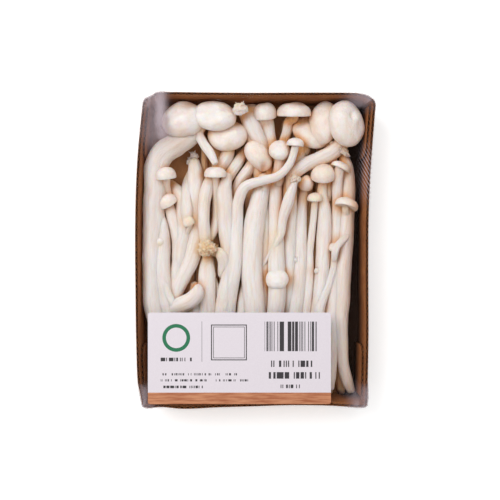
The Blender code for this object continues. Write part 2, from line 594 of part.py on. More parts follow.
def build_clump(name, members, collection, cutters, finish):
    """Fuses the mushrooms of a clump into one body."""
    meshes = []
    for mushroom in members:
        meshes.append(stem_mesh(mushroom, cutters))
        if mushroom.cap is not None:
            meshes.append(cap_mesh(mushroom.cap, mushroom.points[0], cutters))
        meshes += [lump_mesh(lump) for lump in mushroom.lumps]
    clump = add_object(name, meshes[0], collection, finish)
    if len(meshes) > 1:
        growth = bpy.data.collections.new(name + "_growth")
        bpy.context.scene.collection.children.link(growth)
        for mesh in meshes[1:]:
            growth.objects.link(bpy.data.objects.new(name + "_grown", mesh))
        join = clump.modifiers.new("Join", "BOOLEAN")
        join.operation = "UNION"
        join.solver = "MANIFOLD"
        join.operand_type = "COLLECTION"
        join.collection = growth
        fused = evaluated_mesh(clump)
        keep_outer_skin(fused)
        clump.modifiers.clear()
        clump.data = fused
        for grown in list(growth.objects):
            bpy.data.objects.remove(grown)
        bpy.data.collections.remove(growth)
    clump.data.materials.clear()
    clump.data.materials.append(finish)
    clump.data.shade_smooth()
    clump.data.set_sharp_from_angle(angle=math.radians(50))
    return clump


def build_tray(collection, cutters, finish):
    """Floor and four leaning walls from one folded blank, with a glued tab inside each corner."""
    count = len(RIM)
    low = [(x * FOOTPRINT_SHARE * MM, y * FOOTPRINT_SHARE * MM, 0.0) for x, y in RIM]
    high = [(x * MM, y * MM, TRAY_HEIGHT * MM) for x, y in RIM]
    faces = [tuple(reversed(range(count)))]
    for k in range(count):
        after = (k + 1) % count
        faces.append((k, after, count + after, count + k))
    shell = bpy.data.meshes.new("tray")
    shell.from_pydata(low + high, [], faces)
    walls = {"thickness": CARD * MM, "offset": -1.0, "use_even_offset": True}
    tray = finished("tray", shell, collection, finish, [("SOLIDIFY", walls)])
    shell = evaluated_mesh(tray)
    tray.modifiers.clear()
    tray.data = shell
    for side in (-1, 1):
        for end in (-1, 1):
            tab = bpy.data.objects.new("tab_guide", tab_mesh(side, end))
            cutters.objects.link(tab)
            join = tray.modifiers.new("Tab", "BOOLEAN")
            join.operation = "UNION"
            join.solver = "EXACT"
            join.object = tab
            fused = evaluated_mesh(tray)
            tray.modifiers.clear()
            tray.data = fused
            bpy.data.objects.remove(tab)
    tray.data.materials.clear()
    tray.data.materials.append(finish)
    return tray


def tab_mesh(side, end):
    """A tab that follows the inside of a long wall from an end wall, with its free upper corner rounded."""
    shape = bmesh.new()
    rows = []
    for share in (0.0, 0.4, 0.8, 0.93, 1.0):
        y = end * (TAB_ROOT - TAB_LENGTH * share)
        into_corner = max(share - 0.8, 0) / 0.2
        top = TAB_HEIGHT - TAB_CORNER * (1 - math.sqrt(1 - into_corner ** 2))
        section = []
        for z, shift in ((CARD, TAB_SUNK), (top, TAB_SUNK), (top, -CARD), (CARD, -CARD)):
            x = wall_face(y, z, side) + side * shift
            section.append(shape.verts.new((x * MM, y * MM, (z if z == top else z - TAB_SUNK) * MM)))
        rows.append(section)
    shape.faces.new(rows[0])
    shape.faces.new(list(reversed(rows[-1])))
    for here, there in zip(rows, rows[1:]):
        for k in range(4):
            shape.faces.new((here[k], there[k], there[(k + 1) % 4], here[(k + 1) % 4]))
    bmesh.ops.recalc_face_normals(shape, faces=shape.faces)
    mesh = bpy.data.meshes.new("tab")
    shape.to_mesh(mesh)
    shape.free()
    return mesh


def film_heights(places, placed):
    """The underside of the film: taut from rim to rim, and lifted where the pile stands proud."""
    level = TRAY_HEIGHT + GAP
    floor = np.full(len(places), level)
    for k, place in enumerate(places):
        near = np.linalg.norm(placed[:, :2] - place, axis=1) < FILM_CELL + placed[:, 3]
        if near.any():
            floor[k] = max(level, (placed[near, 2] + placed[near, 3]).max() + GAP)
    return floor


def inside_label(x, y, margin=2.0):
    """Whether a place in plan is under the label or right beside it."""
    across = LABEL_LEFT - margin <= x <= LABEL_LEFT + LABEL_WIDTH + margin
    return across and LABEL_TOP - LABEL_LENGTH - margin <= y <= LABEL_TOP + margin


def build_film(collection, placed, finish):
    """Clear film over the rim and down the outside of the walls, open underneath."""
    edge = [(x * FILM_SHARE, y * FILM_SHARE) for x, y in RIM]
    shoulder = [(x * FILM_SHOULDER, y * FILM_SHOULDER) for x, y in RIM]
    across = np.r_[np.linspace(LABEL_LEFT + 2, LABEL_LEFT + LABEL_WIDTH + 2, 10), 52.5]
    along = np.r_[np.linspace(LABEL_TOP - LABEL_LENGTH + 4, LABEL_TOP + 2, 4), np.linspace(-20, 75, 10)]
    inner = [(x, y) for x in across for y in along]
    places = [Vector(p) for p in edge + shoulder + inner]
    count = len(edge)
    ring = [(k, (k + 1) % count) for k in range(count)]
    flat, _, triangles, _, _, _ = delaunay_2d_cdt(places, ring, [list(range(count))], 1, 1e-5)
    heights = film_heights(np.array([tuple(p) for p in flat]), placed)
    for k, place in enumerate(flat):
        on_edge = any((place - Vector(p)).length < 0.01 for p in edge)
        if on_edge or inside_label(*place):
            heights[k] = TRAY_HEIGHT + GAP
    shape = bmesh.new()
    top = [shape.verts.new((p.x * MM, p.y * MM, z * MM)) for p, z in zip(flat, heights)]
    for triangle in triangles:
        shape.faces.new([top[k] for k in triangle])
    rim = [min(range(len(flat)), key=lambda k: (flat[k] - Vector(p)).length) for p in edge]
    hem_mm = MM * wall_share(FILM_HEM)
    hem = [shape.verts.new((x * hem_mm, y * hem_mm, FILM_HEM * MM)) for x, y in edge]
    for k in range(count):
        after = (k + 1) % count
        shape.faces.new((hem[k], hem[after], top[rim[after]], top[rim[k]]))
    bmesh.ops.recalc_face_normals(shape, faces=shape.faces)
    if sum(face.normal.z for face in shape.faces) < 0:
        bmesh.ops.reverse_faces(shape, faces=shape.faces)
    mesh = bpy.data.meshes.new("film")
    shape.to_mesh(mesh)
    shape.free()
    thickness = {"thickness": FILM * MM, "offset": 1.0, "use_even_offset": False}
    return finished("film", mesh, collection, finish, [("SOLIDIFY", thickness)])


def build_label(collection, finish):
    """A paper label with rounded corners, lying on the film."""
    low = TRAY_HEIGHT + GAP + FILM + 0.3
    shape = bmesh.new()
    bmesh.ops.create_cube(shape, size=1.0)
    bmesh.ops.scale(shape, vec=(LABEL_WIDTH * MM, LABEL_LENGTH * MM, LABEL_PAPER * MM), verts=shape.verts)
    middle = (LABEL_LEFT + LABEL_WIDTH / 2, LABEL_TOP - LABEL_LENGTH / 2, low + LABEL_PAPER / 2)
    bmesh.ops.translate(shape, vec=Vector(middle) * MM, verts=shape.verts)
    upright = [e for e in shape.edges if abs(e.verts[0].co.z - e.verts[1].co.z) > LABEL_PAPER * MM / 2]
    bmesh.ops.bevel(shape, geom=upright, offset=MM, segments=2, affect="EDGES", profile=0.5)
    mesh = bpy.data.meshes.new("label")
    shape.to_mesh(mesh)
    shape.free()
    return add_object("label", mesh, collection, finish)


def main():
    for old in list(bpy.data.objects):
        bpy.data.objects.remove(old)
    collection = bpy.data.collections.new("enoki_mushroom_bunch")
    cutters = bpy.data.collections.new("cutters")
    bpy.context.scene.collection.children.link(collection)
    bpy.context.scene.collection.children.link(cutters)
    white = material("mushroom_white", (0.78, 0.71, 0.65), 0.45)
    shaded = material("mushroom_shaded", (0.62, 0.47, 0.32), 0.5)
    card = material("corrugated_card", (0.27, 0.105, 0.042), 0.8)
    clear = material("clear_film", (0.9, 0.9, 0.92), 0.05, alpha=0.15)
    paper = material("label_paper", (0.74, 0.71, 0.75), 0.6)
    placed = np.zeros((0, 5))
    mushrooms = low_layer() + pile()
    for mushroom in mushrooms:
        placed = np.vstack([placed, settle(mushroom, placed)])
    for number, name in enumerate(CLUMPS):
        members = [mushroom for mushroom in mushrooms if mushroom.clump == number]
        build_clump(name, members, collection, cutters, shaded if name.startswith("low") else white)
    build_tray(collection, cutters, card)
    build_film(collection, placed, clear)
    build_label(collection, paper)


main()
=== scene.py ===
"""Looks of the enoki mushroom bunch: each mushroom, the corrugated card tray, the clear film and the label.

Lengths are in millimetres until a mesh is made. The mushrooms repeat the routes and the settling of the
solids, so each finer piece lies where its solid lies.
"""

import json
import math

import bmesh
import bpy
import numpy as np
from mathutils import Matrix, Vector
from mathutils.geometry import delaunay_2d_cdt

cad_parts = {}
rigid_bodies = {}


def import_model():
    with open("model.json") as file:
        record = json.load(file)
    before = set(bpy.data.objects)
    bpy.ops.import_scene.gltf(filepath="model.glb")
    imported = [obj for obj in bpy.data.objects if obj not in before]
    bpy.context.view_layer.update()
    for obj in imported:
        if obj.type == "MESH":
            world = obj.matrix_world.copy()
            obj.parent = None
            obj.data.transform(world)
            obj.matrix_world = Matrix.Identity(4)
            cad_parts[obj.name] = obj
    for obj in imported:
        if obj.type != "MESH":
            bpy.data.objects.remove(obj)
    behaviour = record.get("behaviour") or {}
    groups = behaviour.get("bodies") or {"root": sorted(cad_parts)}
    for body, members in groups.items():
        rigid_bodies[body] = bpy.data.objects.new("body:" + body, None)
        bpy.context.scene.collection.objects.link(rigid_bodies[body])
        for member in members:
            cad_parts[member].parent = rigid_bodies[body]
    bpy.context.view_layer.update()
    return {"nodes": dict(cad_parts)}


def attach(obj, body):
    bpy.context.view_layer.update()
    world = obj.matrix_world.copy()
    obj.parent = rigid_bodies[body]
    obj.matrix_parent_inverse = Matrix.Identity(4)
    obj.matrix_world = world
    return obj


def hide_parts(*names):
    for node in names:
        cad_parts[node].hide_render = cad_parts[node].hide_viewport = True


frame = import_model()

MM = 0.001

# The tray and what keeps the pile inside it
TRAY_HEIGHT = 24.0
CARD = 1.6
FOOTPRINT_SHARE = 0.975
GAP = 0.4
TAB_ROOT = 80.0
TAB_LENGTH = 28.0
TAB_HEIGHT = 20.5
TAB_CORNER = 5.0
WALL_CHECK_HEIGHT = 9.0
WALL_ROOM = 0.4
FOOT_WALL = -82.1
HEAD_WALL = 83.8

# The label on the film
LABEL_LEFT = -58.0
LABEL_WIDTH = 100.0
LABEL_TOP = -33.7
LABEL_LENGTH = 50.0

# How the pile is laid
SPREAD = 1.02
PLUMP = 1.08
CAP_PLUMP = 1.04
LOW_STEMS = 17
LOW_STEM_WIDTH = 5.6
LOW_STEM_PITCH = 6.5
LOW_STEM_TOP = 73.0
LOW_STEM_UNEVEN = 12.0
LOW_STEM_TIP = 0.55
LONG_LOW_STEMS_LEFT = -34.0
LONG_LOW_STEMS_RIGHT = 47.0
SHORT_LOW_STEM_TOP = 32.0
LOW_STEM_SHIFT = -3.0
LOW_STEM_SWAY = 1.2
FOOT_LINE = -79.0
STEM_STEP = 9.5
FEWEST_POINTS = 6
LOW_STEM_STEP = 16.0
BALL_STEP = 1.4
SETTLE_ROUNDS = 4
GROWN_TOGETHER = 0.56
SUNK_IN_CAP = 0.5
STEEPEST = 0.45
STEEPEST_NECK = 0.9

CLUMPS = ["left_clump", "inner_left_clump", "inner_right_clump", "right_clump"]
CLUMPS += [f"low_stem_{k + 1}" for k in range(LOW_STEMS)]

# The rim of the tray in plan, anticlockwise from its foot-left corner: foot, right, head and left walls
FOOT_RIM = [(-61, -85.2), (-50, -85.6), (-38, -86.6), (-20, -85.8), (0, -85.2), (20, -84.6), (40, -84.8),
            (59, -85.6)]
RIGHT_RIM = [(62, -83), (62.4, -70), (62.8, -45), (62.7, -15), (62.8, 15), (63.6, 38), (64.8, 56),
             (66.2, 74), (66.6, 81)]
HEAD_RIM = [(64, 84), (59, 86), (52, 86.7), (26, 86.8), (0, 86.7), (-26, 86.9), (-51, 87), (-56, 85),
            (-60, 83)]
LEFT_RIM = [(-61.2, 79), (-62.6, 66), (-64, 50), (-64.9, 30), (-65.2, 5), (-65, -20), (-64.6, -50),
            (-63.6, -74)]
RIM = FOOT_RIM + RIGHT_RIM + HEAD_RIM + LEFT_RIM

# Where the random draws of the mushrooms and of the lower stems start
MUSHROOM_SEED = 900
LOW_STEM_SEED = 11

# How fine the surfaces are
STEM_SIDES = 26
STEM_RING_STEP = 1.15
CAP_SIDES = 72
LARGE_CAP_SIDES = 120
LARGE_CAP = 15.0
# How much thicker than its solid a stem is drawn, for its down: a share of its radius, and the most
DOWN_SHARE = 0.14
DOWN_MOST = 0.5
# How long the flesh's grain is along a stem, against its width
GRAIN_STRETCH = 0.1
# Which lumps are tiny, which are torn, and how many strands stick out of a torn one
SMALL_LUMP = 2.5
TORN = 0.15
TORN_STRANDS = 5
# Waves around a stem: their count, their turning along it and their height
STEM_WAVES = [(2.0, 1.0, 0.55), (3.0, -1.7, 0.4), (7.0, 2.3, 0.2)]

# The card's liners and flutes, and how much painted shade each point of its section gets, in the groove of
# its cut edge
LINER = 0.24
FLUTE_LENGTH = 3.1
GROOVE_SHADE = [0, 0, 0, 0, 0, 0.5, 1, 1, 0.5, 0, 0, 0, 0, 0]
FLUTE_SWING = 0.42
FLUTE_DEPTH = 3.0
FLUTE_PAPER = 0.15
# How soft the cut edge is, down and in, how far under it the flutes end, and the floor's edge and top
EDGE_DOWN = 0.12
EDGE_IN = 0.07
FLUTES_UNDER = 0.1
FLOOR_ROUND = 0.25
FLOOR_SUNK = 0.05
# How far a glued tab is pressed into its wall
TAB_PRESSED = 0.1

# The film's grid and ends, its gaps to what it covers, and its corners, where it lies in milky folds with
# painted reflections: x, y, reach and folds
FILM_GRID = 2.0
FILM_HEAD = 85.0
FILM_FOOT = -84.0
FILM_ROUNDS = 160
FILM_CLEAR = 0.3
FILM_OUT = 0.6
FILM_HEM = 1.2
FILM_THICK = 0.05
FILM_SHOULDER = 1.0
FILM_EDGE_DROP = 0.3
HANGING_ROWS = 9
FOLD_HEIGHT = 0.5
FILM_CORNERS = [(-58, 84, 6, 9), (63, 85, 5, 9), (-62, -84, 6, 9), (60, -84, 7, 9)]
# Broad painted reflections on the film: x, y, reach across, reach along and strength
FILM_GLARE = [(-51.5, 77, 3.0, 12, 0.95), (-56, 72, 5, 16, 0.28), (-50.5, 65, 3.5, 4, 0.7),
              (61, -80, 3, 6, 0.35), (-60.5, -80, 2.5, 6, 0.4), (57, 83, 6, 3.5, 0.4)]
# Where fine slanting lines of painted light lie on the film: x, y, reach across and along; their pitch and
# slope
FILM_STREAKS = (61.8, 43, 2.6, 14)
STREAK_PITCH = 2.9
STREAK_SLOPE = 1.74

# The print on the label: the strip at its foot, the divider line (left, right, low and high), the green
# ring (x, y, radius and half its width), and the squares (x, y, half their side and their line)
WOOD_STRIP = 6.3
DIVIDER = (-28.65, -28.3, -60.5, -38.5)
GREEN_RING = (-42.5, -47.5, 6.6, 1.0)
SQUARES = [(-13.7, -50, 9.8, 0.55), (-13.7, -50, 8.6, 0.3)]
# Rows of plain strokes on the label: left, right, low, high, pitch and share of ink
PRINTED_ROWS = [
    (5.8, 34.2, -54.8, -38.6, 0.4, 0.5), (8.8, 31.8, -63.4, -59.9, 0.62, 0.55),
    (4.1, 36.7, -69.8, -66.2, 0.62, 0.55), (14, 25, -75, -73, 0.5, 0.55), (-50, -9, -68, -66.8, 0.36, 0.4),
    (-51, -3, -71.3, -70.1, 0.36, 0.4), (-51, -28, -75, -73.6, 0.42, 0.55),
    (-51.5, -34, -60.3, -58.3, 0.5, 0.55),
]

# The grid of the pile's top, and how far under it the flesh starts to get painted shade, and where it gets
# the full painted shade
MAP_REACH = 96.0
MAP_CELL = 1.0
MAP_SOFTEN = 8
MAP_SPREAD = 4
PILE_SHADE_FROM = 0.6
PILE_SHADE_FULL = 6.8

# Dents in single caps: the cap's place in plan; place and reach in radii, and depth in thicknesses
CAP_DENTS = [((54, 69.2), (0.1, 0.25, 0.16, 0.2)), ((54, 69.2), (-0.35, -0.5, 0.3, 0.12)),
             ((4, 53), (0.2, -0.95, 0.3, 0.6)), ((-38, 75.5), (0.45, 0.5, 0.4, 0.12))]

# Stains in plan, by their colour: place, reach and strength; and how far down in the pile they reach
STAINS = {
    "brown": [(-24.5, 0, 5.0, 0.6), (-6, 79, 2.2, 0.5), (22.4, 38.8, 2.6, 0.8)],
    "yellow": [(-25.4, 1.2, 7.0, 1.3), (-9, 81, 4.6, 0.8), (22.4, 40, 3.2, 0.7), (9.5, 4, 5.0, 0.55),
               (12, 9, 4.0, 0.5), (-35.5, 17, 4.0, 0.65), (-51.5, 3.4, 1.8, 0.6), (-38, -33, 4.0, 0.55),
               (-33, 50.5, 2.6, 0.55), (-13, 55, 3.4, 0.45), (-21, 24, 6.0, 0.35), (33.5, 29.5, 5.5, 0.45),
               (52, 24, 6.5, 0.3), (38, 43, 6.0, 0.3), (-26.6, 26, 5.0, 0.35), (4, 53, 5.0, 0.3),
               (32, 68, 8.0, 0.25)],
}
STAIN_DEPTH = 7
# Painted shade on the flesh: x, y, reach across and along, and strength
SHADED = [(55.5, 22, 4.0, 34, 0.5), (54, -40, 6.0, 50, 0.32), (47, -75, 7, 22, 0.25),
          (51, 45, 4.0, 12, 0.35), (-40, 58, 7.0, 9, 0.25)]

# Colours. Flesh: light, dull, and the painted shade low in the pile, and how much of the last
PALE_FLESH = ((0.95, 0.895, 0.88, 1), (0.88, 0.745, 0.655, 1), (0.78, 0.40, 0.155, 1), 1.0)
# The lower stems' flesh: a painted shaded copy of the pale flesh, darker and browner for the shade and warm
# bounce low in the pile
SHADED_TAN_FLESH = ((0.86, 0.57, 0.34, 1), (0.72, 0.42, 0.21, 1), (0.64, 0.32, 0.12, 1), 0.6)
DOWN_TINT = (1.0, 0.86, 0.76, 1)
YELLOW_STAIN = (0.90, 0.66, 0.36, 1)
BROWN_STAIN = (0.42, 0.1, 0.03, 1)
CARD_DARK = (0.21, 0.07, 0.022, 1)
CARD_LIGHT = (0.42, 0.16, 0.052, 1)
CARD_CLOUD = (0.17, 0.048, 0.014, 1)
CARD_FLOOR = (0.62, 0.31, 0.13, 1)
# Painted shadow low on the card's right side
CARD_PAINTED_SHADOW = (0.014, 0.004, 0.002, 1)
# Painted shade in the groove of the card's cut edge
CARD_GROOVE_SHADE = (0.008, 0.003, 0.002, 1)
FILM_CLEAR_TINT = (0.985, 0.985, 0.985, 1)
# The milky folds' colour, also used for the painted reflections and painted light streaks
FILM_MILK_AND_GLARE = (0.60, 0.50, 0.55, 1)
PAPER = ((0.74, 0.68, 0.735, 1), (0.78, 0.725, 0.775, 1))
WOOD = ((0.36, 0.10, 0.035, 1), (0.60, 0.26, 0.13, 1))
INK = (0.035, 0.03, 0.035, 1)
DIVIDER_GREY = (0.33, 0.31, 0.33, 1)
RING_GREEN = (0.012, 0.17, 0.075, 1)
TABLE_WHITE = (0.97, 0.97, 0.97, 1)
WHITE = (1, 1, 1, 1)

# The camera, in metres
CAMERA_RISE = 0.43
CAMERA_SPAN = 0.274
CAMERA_X = -0.0022
CAMERA_Y = 0.0005

# The table's own glow, so that the ground stays white under the soft shadow
TABLE_GLOW = 0.32
TABLE_REACH = 3
# Lamps: name, place in metres, size, power and colour
LAMPS = [("key", (-0.5, 0.35, 0.75), 0.6, 4.7, (1.0, 0.985, 0.97)),
         ("fill", (0.7, -0.2, 0.8), 0.8, 1.0, (1.0, 0.97, 0.95)),
         ("head", (0.1, 0.8, 0.7), 0.5, 1.6, (1, 1, 1))]
SKY_STRENGTH = 0.56


class Cap:
    """A cap seen from above: its middle, width and thickness, and where its top points, in degrees."""

    def __init__(self, x, y, width, thickness, azimuth, elevation, oval=1.0):
        self.middle = np.array([x, y], float) * SPREAD
        self.radius = width / 2 * CAP_PLUMP
        self.thickness = thickness * CAP_PLUMP
        self.oval = oval
        a, e = math.radians(azimuth), math.radians(elevation)
        self.across = np.array([-math.sin(a), math.cos(a), 0.0])
        self.axis = np.array([math.cos(a) * math.cos(e), math.sin(a) * math.cos(e), math.sin(e)])

    def joint(self):
        """Where the stem meets the underside, in plan."""
        return self.middle - self.axis[:2] * self.thickness * 0.5

    def profile(self, inset=0.0):
        """Radius and height from the top of the dome down its side, and back under the rim to the stem."""
        r, h = self.radius - inset, self.thickness - inset
        dome = [(0.0, h)]
        for angle in (24, 46, 68, 86):
            a = math.radians(angle)
            dome.append((r * math.sin(a) ** 0.86, h * 0.3 + (h - h * 0.3) * math.cos(a)))
        return dome + [(r * 0.93, h * 0.09 + inset), (r * 0.55, h * 0.17 + inset), (0.0, h * 0.2 + inset)]

    def frame(self):
        """Turns the cap's own +Z to its axis, and stretches an oval cap across its tilt."""
        turn = np.array(Vector((0, 0, 1)).rotation_difference(Vector(self.axis)).to_matrix())
        return turn @ (np.eye(3) + (self.oval - 1) * np.outer(self.across, self.across))


class Lump:
    """A torn end, a swelling or a tiny button on a stem: its middle, size across, along and up, and turn."""

    def __init__(self, x, y, across, along, up, turn=0.0, rise=0.0, ragged=0.12):
        self.middle = np.array([x, y], float) * SPREAD
        self.size = np.array([across, along, up]) / 2
        self.turn = math.radians(turn)
        self.rise = rise
        self.ragged = ragged


class Mushroom:
    """A stem along its route in plan, from the cap end to the foot, with its cap and lumps, in its clump.

    It stands off the floor by its lift, and nestles further than others into its own clump.
    """

    def __init__(self, clump, route, widths, cap=None, lumps=(), lift=0.0, nestle=0.0, step=STEM_STEP):
        self.clump = CLUMPS.index(clump)
        self.cap = cap
        self.lumps = list(lumps)
        self.lift = lift
        self.nestle = nestle
        plan = [np.array(p, float) * SPREAD for p in route]
        if cap is not None:
            plan.insert(0, cap.joint())
        self.plan = spaced(smooth_route(plan), step)
        share = np.linspace(0, 1, len(self.plan))
        self.radii = np.interp(share, np.linspace(0, 1, len(widths)), widths) / 2 * PLUMP
        if cap is None:
            self.radii[0] *= 0.62
        self.radii[-1] *= 0.72


def smooth_route(points, steps=8):
    """A smooth curve through points in plan."""
    ends = [2 * points[0] - points[1]] + list(points) + [2 * points[-1] - points[-2]]
    curve = []
    for i in range(1, len(ends) - 2):
        a, b, c, d = ends[i - 1:i + 3]
        for k in range(steps):
            t = k / steps
            curve.append(0.5 * (2 * b + (c - a) * t + (2 * a - 5 * b + 4 * c - d) * t ** 2
                                + (3 * b - a - 3 * c + d) * t ** 3))
    curve.append(ends[-2])
    return np.array(curve)


def spaced(curve, step):
    """Points at even steps along a curve, ends included."""
    lengths = np.r_[0, np.cumsum(np.linalg.norm(np.diff(curve, axis=0), axis=1))]
    count = max(FEWEST_POINTS, round(lengths[-1] / step) + 1)
    at = np.linspace(0, lengths[-1], count)
    return np.column_stack([np.interp(at, lengths, curve[:, k]) for k in range(2)])


def wall_share(z):
    """How large the leaning walls' outline is at a height, against the rim."""
    return FOOTPRINT_SHARE + (1 - FOOTPRINT_SHARE) * z / TRAY_HEIGHT


def wall_face(y, z, side):
    """The inner face of a long wall at a place along it and a height, without its tabs."""
    outline = sorted(RIGHT_RIM if side > 0 else LEFT_RIM + FOOT_RIM[:1], key=lambda place: place[1])
    xs = [place[0] for place in outline]
    ys = [place[1] for place in outline]
    return np.interp(y, ys, xs) * wall_share(z) - side * CARD


def wall_x(y, side):
    """The inner face of a long wall, tabs included, at the height where the pile is kept off it."""
    tab = CARD if abs(y) > TAB_ROOT - TAB_LENGTH - 1 else 0.0
    return wall_face(y, WALL_CHECK_HEIGHT, side) - side * tab


def push_inside(places, radius):
    """The shift in plan that brings balls off the walls."""
    room = radius + WALL_ROOM
    left = max(wall_x(y, -1) + room - x for x, y in places)
    right = min(wall_x(y, 1) - room - x for x, y in places)
    foot = max(FOOT_WALL + room - y for x, y in places)
    head = min(HEAD_WALL - room - y for x, y in places)
    return np.array([max(left, 0) + min(right, 0), max(foot, 0) + min(head, 0)])


def settle(mushroom, placed):
    """Gives the stem's points and the cap their heights, on the tray and on the balls already placed."""
    radii = mushroom.radii
    plan = mushroom.plan
    capped = mushroom.cap is not None
    rest = CARD + GAP
    for k in range(len(plan)):
        plan[k] += push_inside(plan[k:k + 1], radii[k])
    if capped:
        offsets, ball_radius = cap_balls(mushroom.cap)
        plan[0] += push_inside(plan[0] + offsets[:, :2], ball_radius)
    spans = np.linalg.norm(np.diff(plan, axis=0), axis=1)
    steps = []
    for k, span in enumerate(spans):
        for t in np.linspace(0, 1, max(2, math.ceil(span / BALL_STEP)), endpoint=False):
            steps.append((k, t))
    steps.append((len(spans) - 1, 1.0))
    index = np.array([k for k, t in steps])
    part = np.array([t for k, t in steps])

    def between(values):
        """Values at the balls from those at the points."""
        return values[index] * (1 - part) + values[index + 1] * part

    xy = np.column_stack([between(plan[:, 0]), between(plan[:, 1])])
    r = between(radii)
    lowest = lowest_heights(xy, r, placed, mushroom, rest + mushroom.lift)
    held = 0.0
    if capped:
        ball_radii = np.full(len(offsets), ball_radius)
        under = lowest_heights(plan[0] + offsets[:, :2], ball_radii, placed, mushroom, rest)
        held = max((under - offsets[:, 2]).max(), lowest[0])
    along = np.r_[0, np.cumsum(spans)]
    steep = np.abs(along[:, None] - between(along)[None, :]) * STEEPEST
    heights = np.maximum((lowest[None, :] - steep).max(axis=1), held - along * STEEPEST_NECK)
    for _ in range(SETTLE_ROUNDS):
        eased = heights.copy()
        eased[1:-1] = (heights[:-2] + 2 * heights[1:-1] + heights[2:]) / 4
        short = np.maximum(lowest - between(eased), 0)
        rise = np.zeros(len(plan))
        np.maximum.at(rise, index, short)
        np.maximum.at(rise, index + 1, short)
        heights = eased + rise
        if capped:
            heights[0] = max(heights[0], held)
    heights += max((lowest - between(heights)).max(), 0)
    mushroom.points = np.column_stack([plan, heights])
    cloud = np.column_stack([xy, between(heights), r])
    parts = [cloud]
    if capped:
        parts.append(np.column_stack([offsets + mushroom.points[0], ball_radii]))
    for lump in mushroom.lumps:
        nearest = cloud[np.argmin(np.linalg.norm(xy - lump.middle, axis=1))]
        lump.centre = np.array([*lump.middle, nearest[2] + lump.rise])
        balls = lump_balls(lump)
        lump.centre[:2] += push_inside(balls[:, :2], balls[:, 3].max() * 1.2)
        balls = lump_balls(lump)
        others = placed[placed[:, 4] != mushroom.clump]
        under = lowest_heights(balls[:, :2], balls[:, 3], others, mushroom, rest)
        lump.centre[2] = max(lump.centre[2], under.max())
        parts.append(lump_balls(lump))
    mushroom.balls = np.vstack(parts)
    return np.column_stack([mushroom.balls, np.full(len(mushroom.balls), mushroom.clump)])


def lowest_heights(xy, r, placed, mushroom, rest):
    """How low balls may lie on the floor, on other clumps, and sunk into the balls of their own clump."""
    lowest = rest + r
    if len(placed):
        apart = np.linalg.norm(xy[:, None, :] - placed[None, :, :2], axis=2)
        own = placed[None, :, 4] == mushroom.clump
        reach = r[:, None] + placed[None, :, 3]
        reach = np.where(own, reach * GROWN_TOGETHER, reach + GAP)
        above = np.sqrt(np.maximum(reach ** 2 - apart ** 2, 0))
        over = np.where(apart < reach, placed[None, :, 2] + above - own * mushroom.nestle, 0)
        lowest = np.maximum(lowest, over.max(axis=1))
    return lowest


def cap_balls(cap):
    """Small balls just under a cap's surface, from its joint, that stand for it while the pile settles."""
    ball = min(1.3, cap.thickness * 0.22)
    turn = cap.frame()
    found = []
    rings = cap.profile(inset=ball)
    for (r0, h0), (r1, h1) in zip(rings, rings[1:]):
        steps = max(1, math.ceil(math.hypot(r1 - r0, h1 - h0) / 1.5))
        for k in range(steps):
            radius = r0 + (r1 - r0) * k / steps
            height = h0 + (h1 - h0) * k / steps
            count = max(1, math.ceil(2 * math.pi * radius / 1.6))
            for a in [2 * math.pi * step / count for step in range(count)]:
                found.append(turn @ np.array([radius * math.cos(a), radius * math.sin(a), height]))
    return np.array(found), ball


def lump_balls(lump):
    """Balls over a lump's middle plane, that stand for it while the pile settles."""
    thin = lump.size.min() * (1 + lump.ragged)
    across, along = lump.size[0], lump.size[1]
    found = []
    for u in np.linspace(-1, 1, 9):
        for v in np.linspace(-1, 1, 9):
            if math.hypot(u, v) < 1.01:
                x = u * max(across - thin * 0.6, 0)
                y = v * max(along - thin * 0.6, 0)
                c, s = math.cos(lump.turn), math.sin(lump.turn)
                found.append([x * c - y * s, x * s + y * c, 0])
    return np.column_stack([np.array(found) + lump.centre, np.full(len(found), thin)])


def low_layer():
    """The lower stems, side by side across the tray, that the mushrooms in sight lie on."""
    random = np.random.default_rng(LOW_STEM_SEED)
    stems = []
    middle = (LOW_STEMS - 1) / 2
    for k in range(LOW_STEMS):
        x = (k - middle) * LOW_STEM_PITCH + LOW_STEM_SHIFT
        top = LOW_STEM_TOP - LOW_STEM_UNEVEN * random.random()
        if x < LONG_LOW_STEMS_LEFT or x > LONG_LOW_STEMS_RIGHT:
            top = SHORT_LOW_STEM_TOP
        along = np.linspace(top, FOOT_LINE / SPREAD, 6)
        route = [(x + LOW_STEM_SWAY * math.sin(y / 24) + random.uniform(-0.15, 0.15), y) for y in along]
        widths = LOW_STEM_WIDTH * random.uniform(0.88, 1.0, 4) * np.array([LOW_STEM_TIP, 0.9, 1, 1])
        stems.append(Mushroom(f"low_stem_{k + 1}", route, widths, step=LOW_STEM_STEP))
    return stems


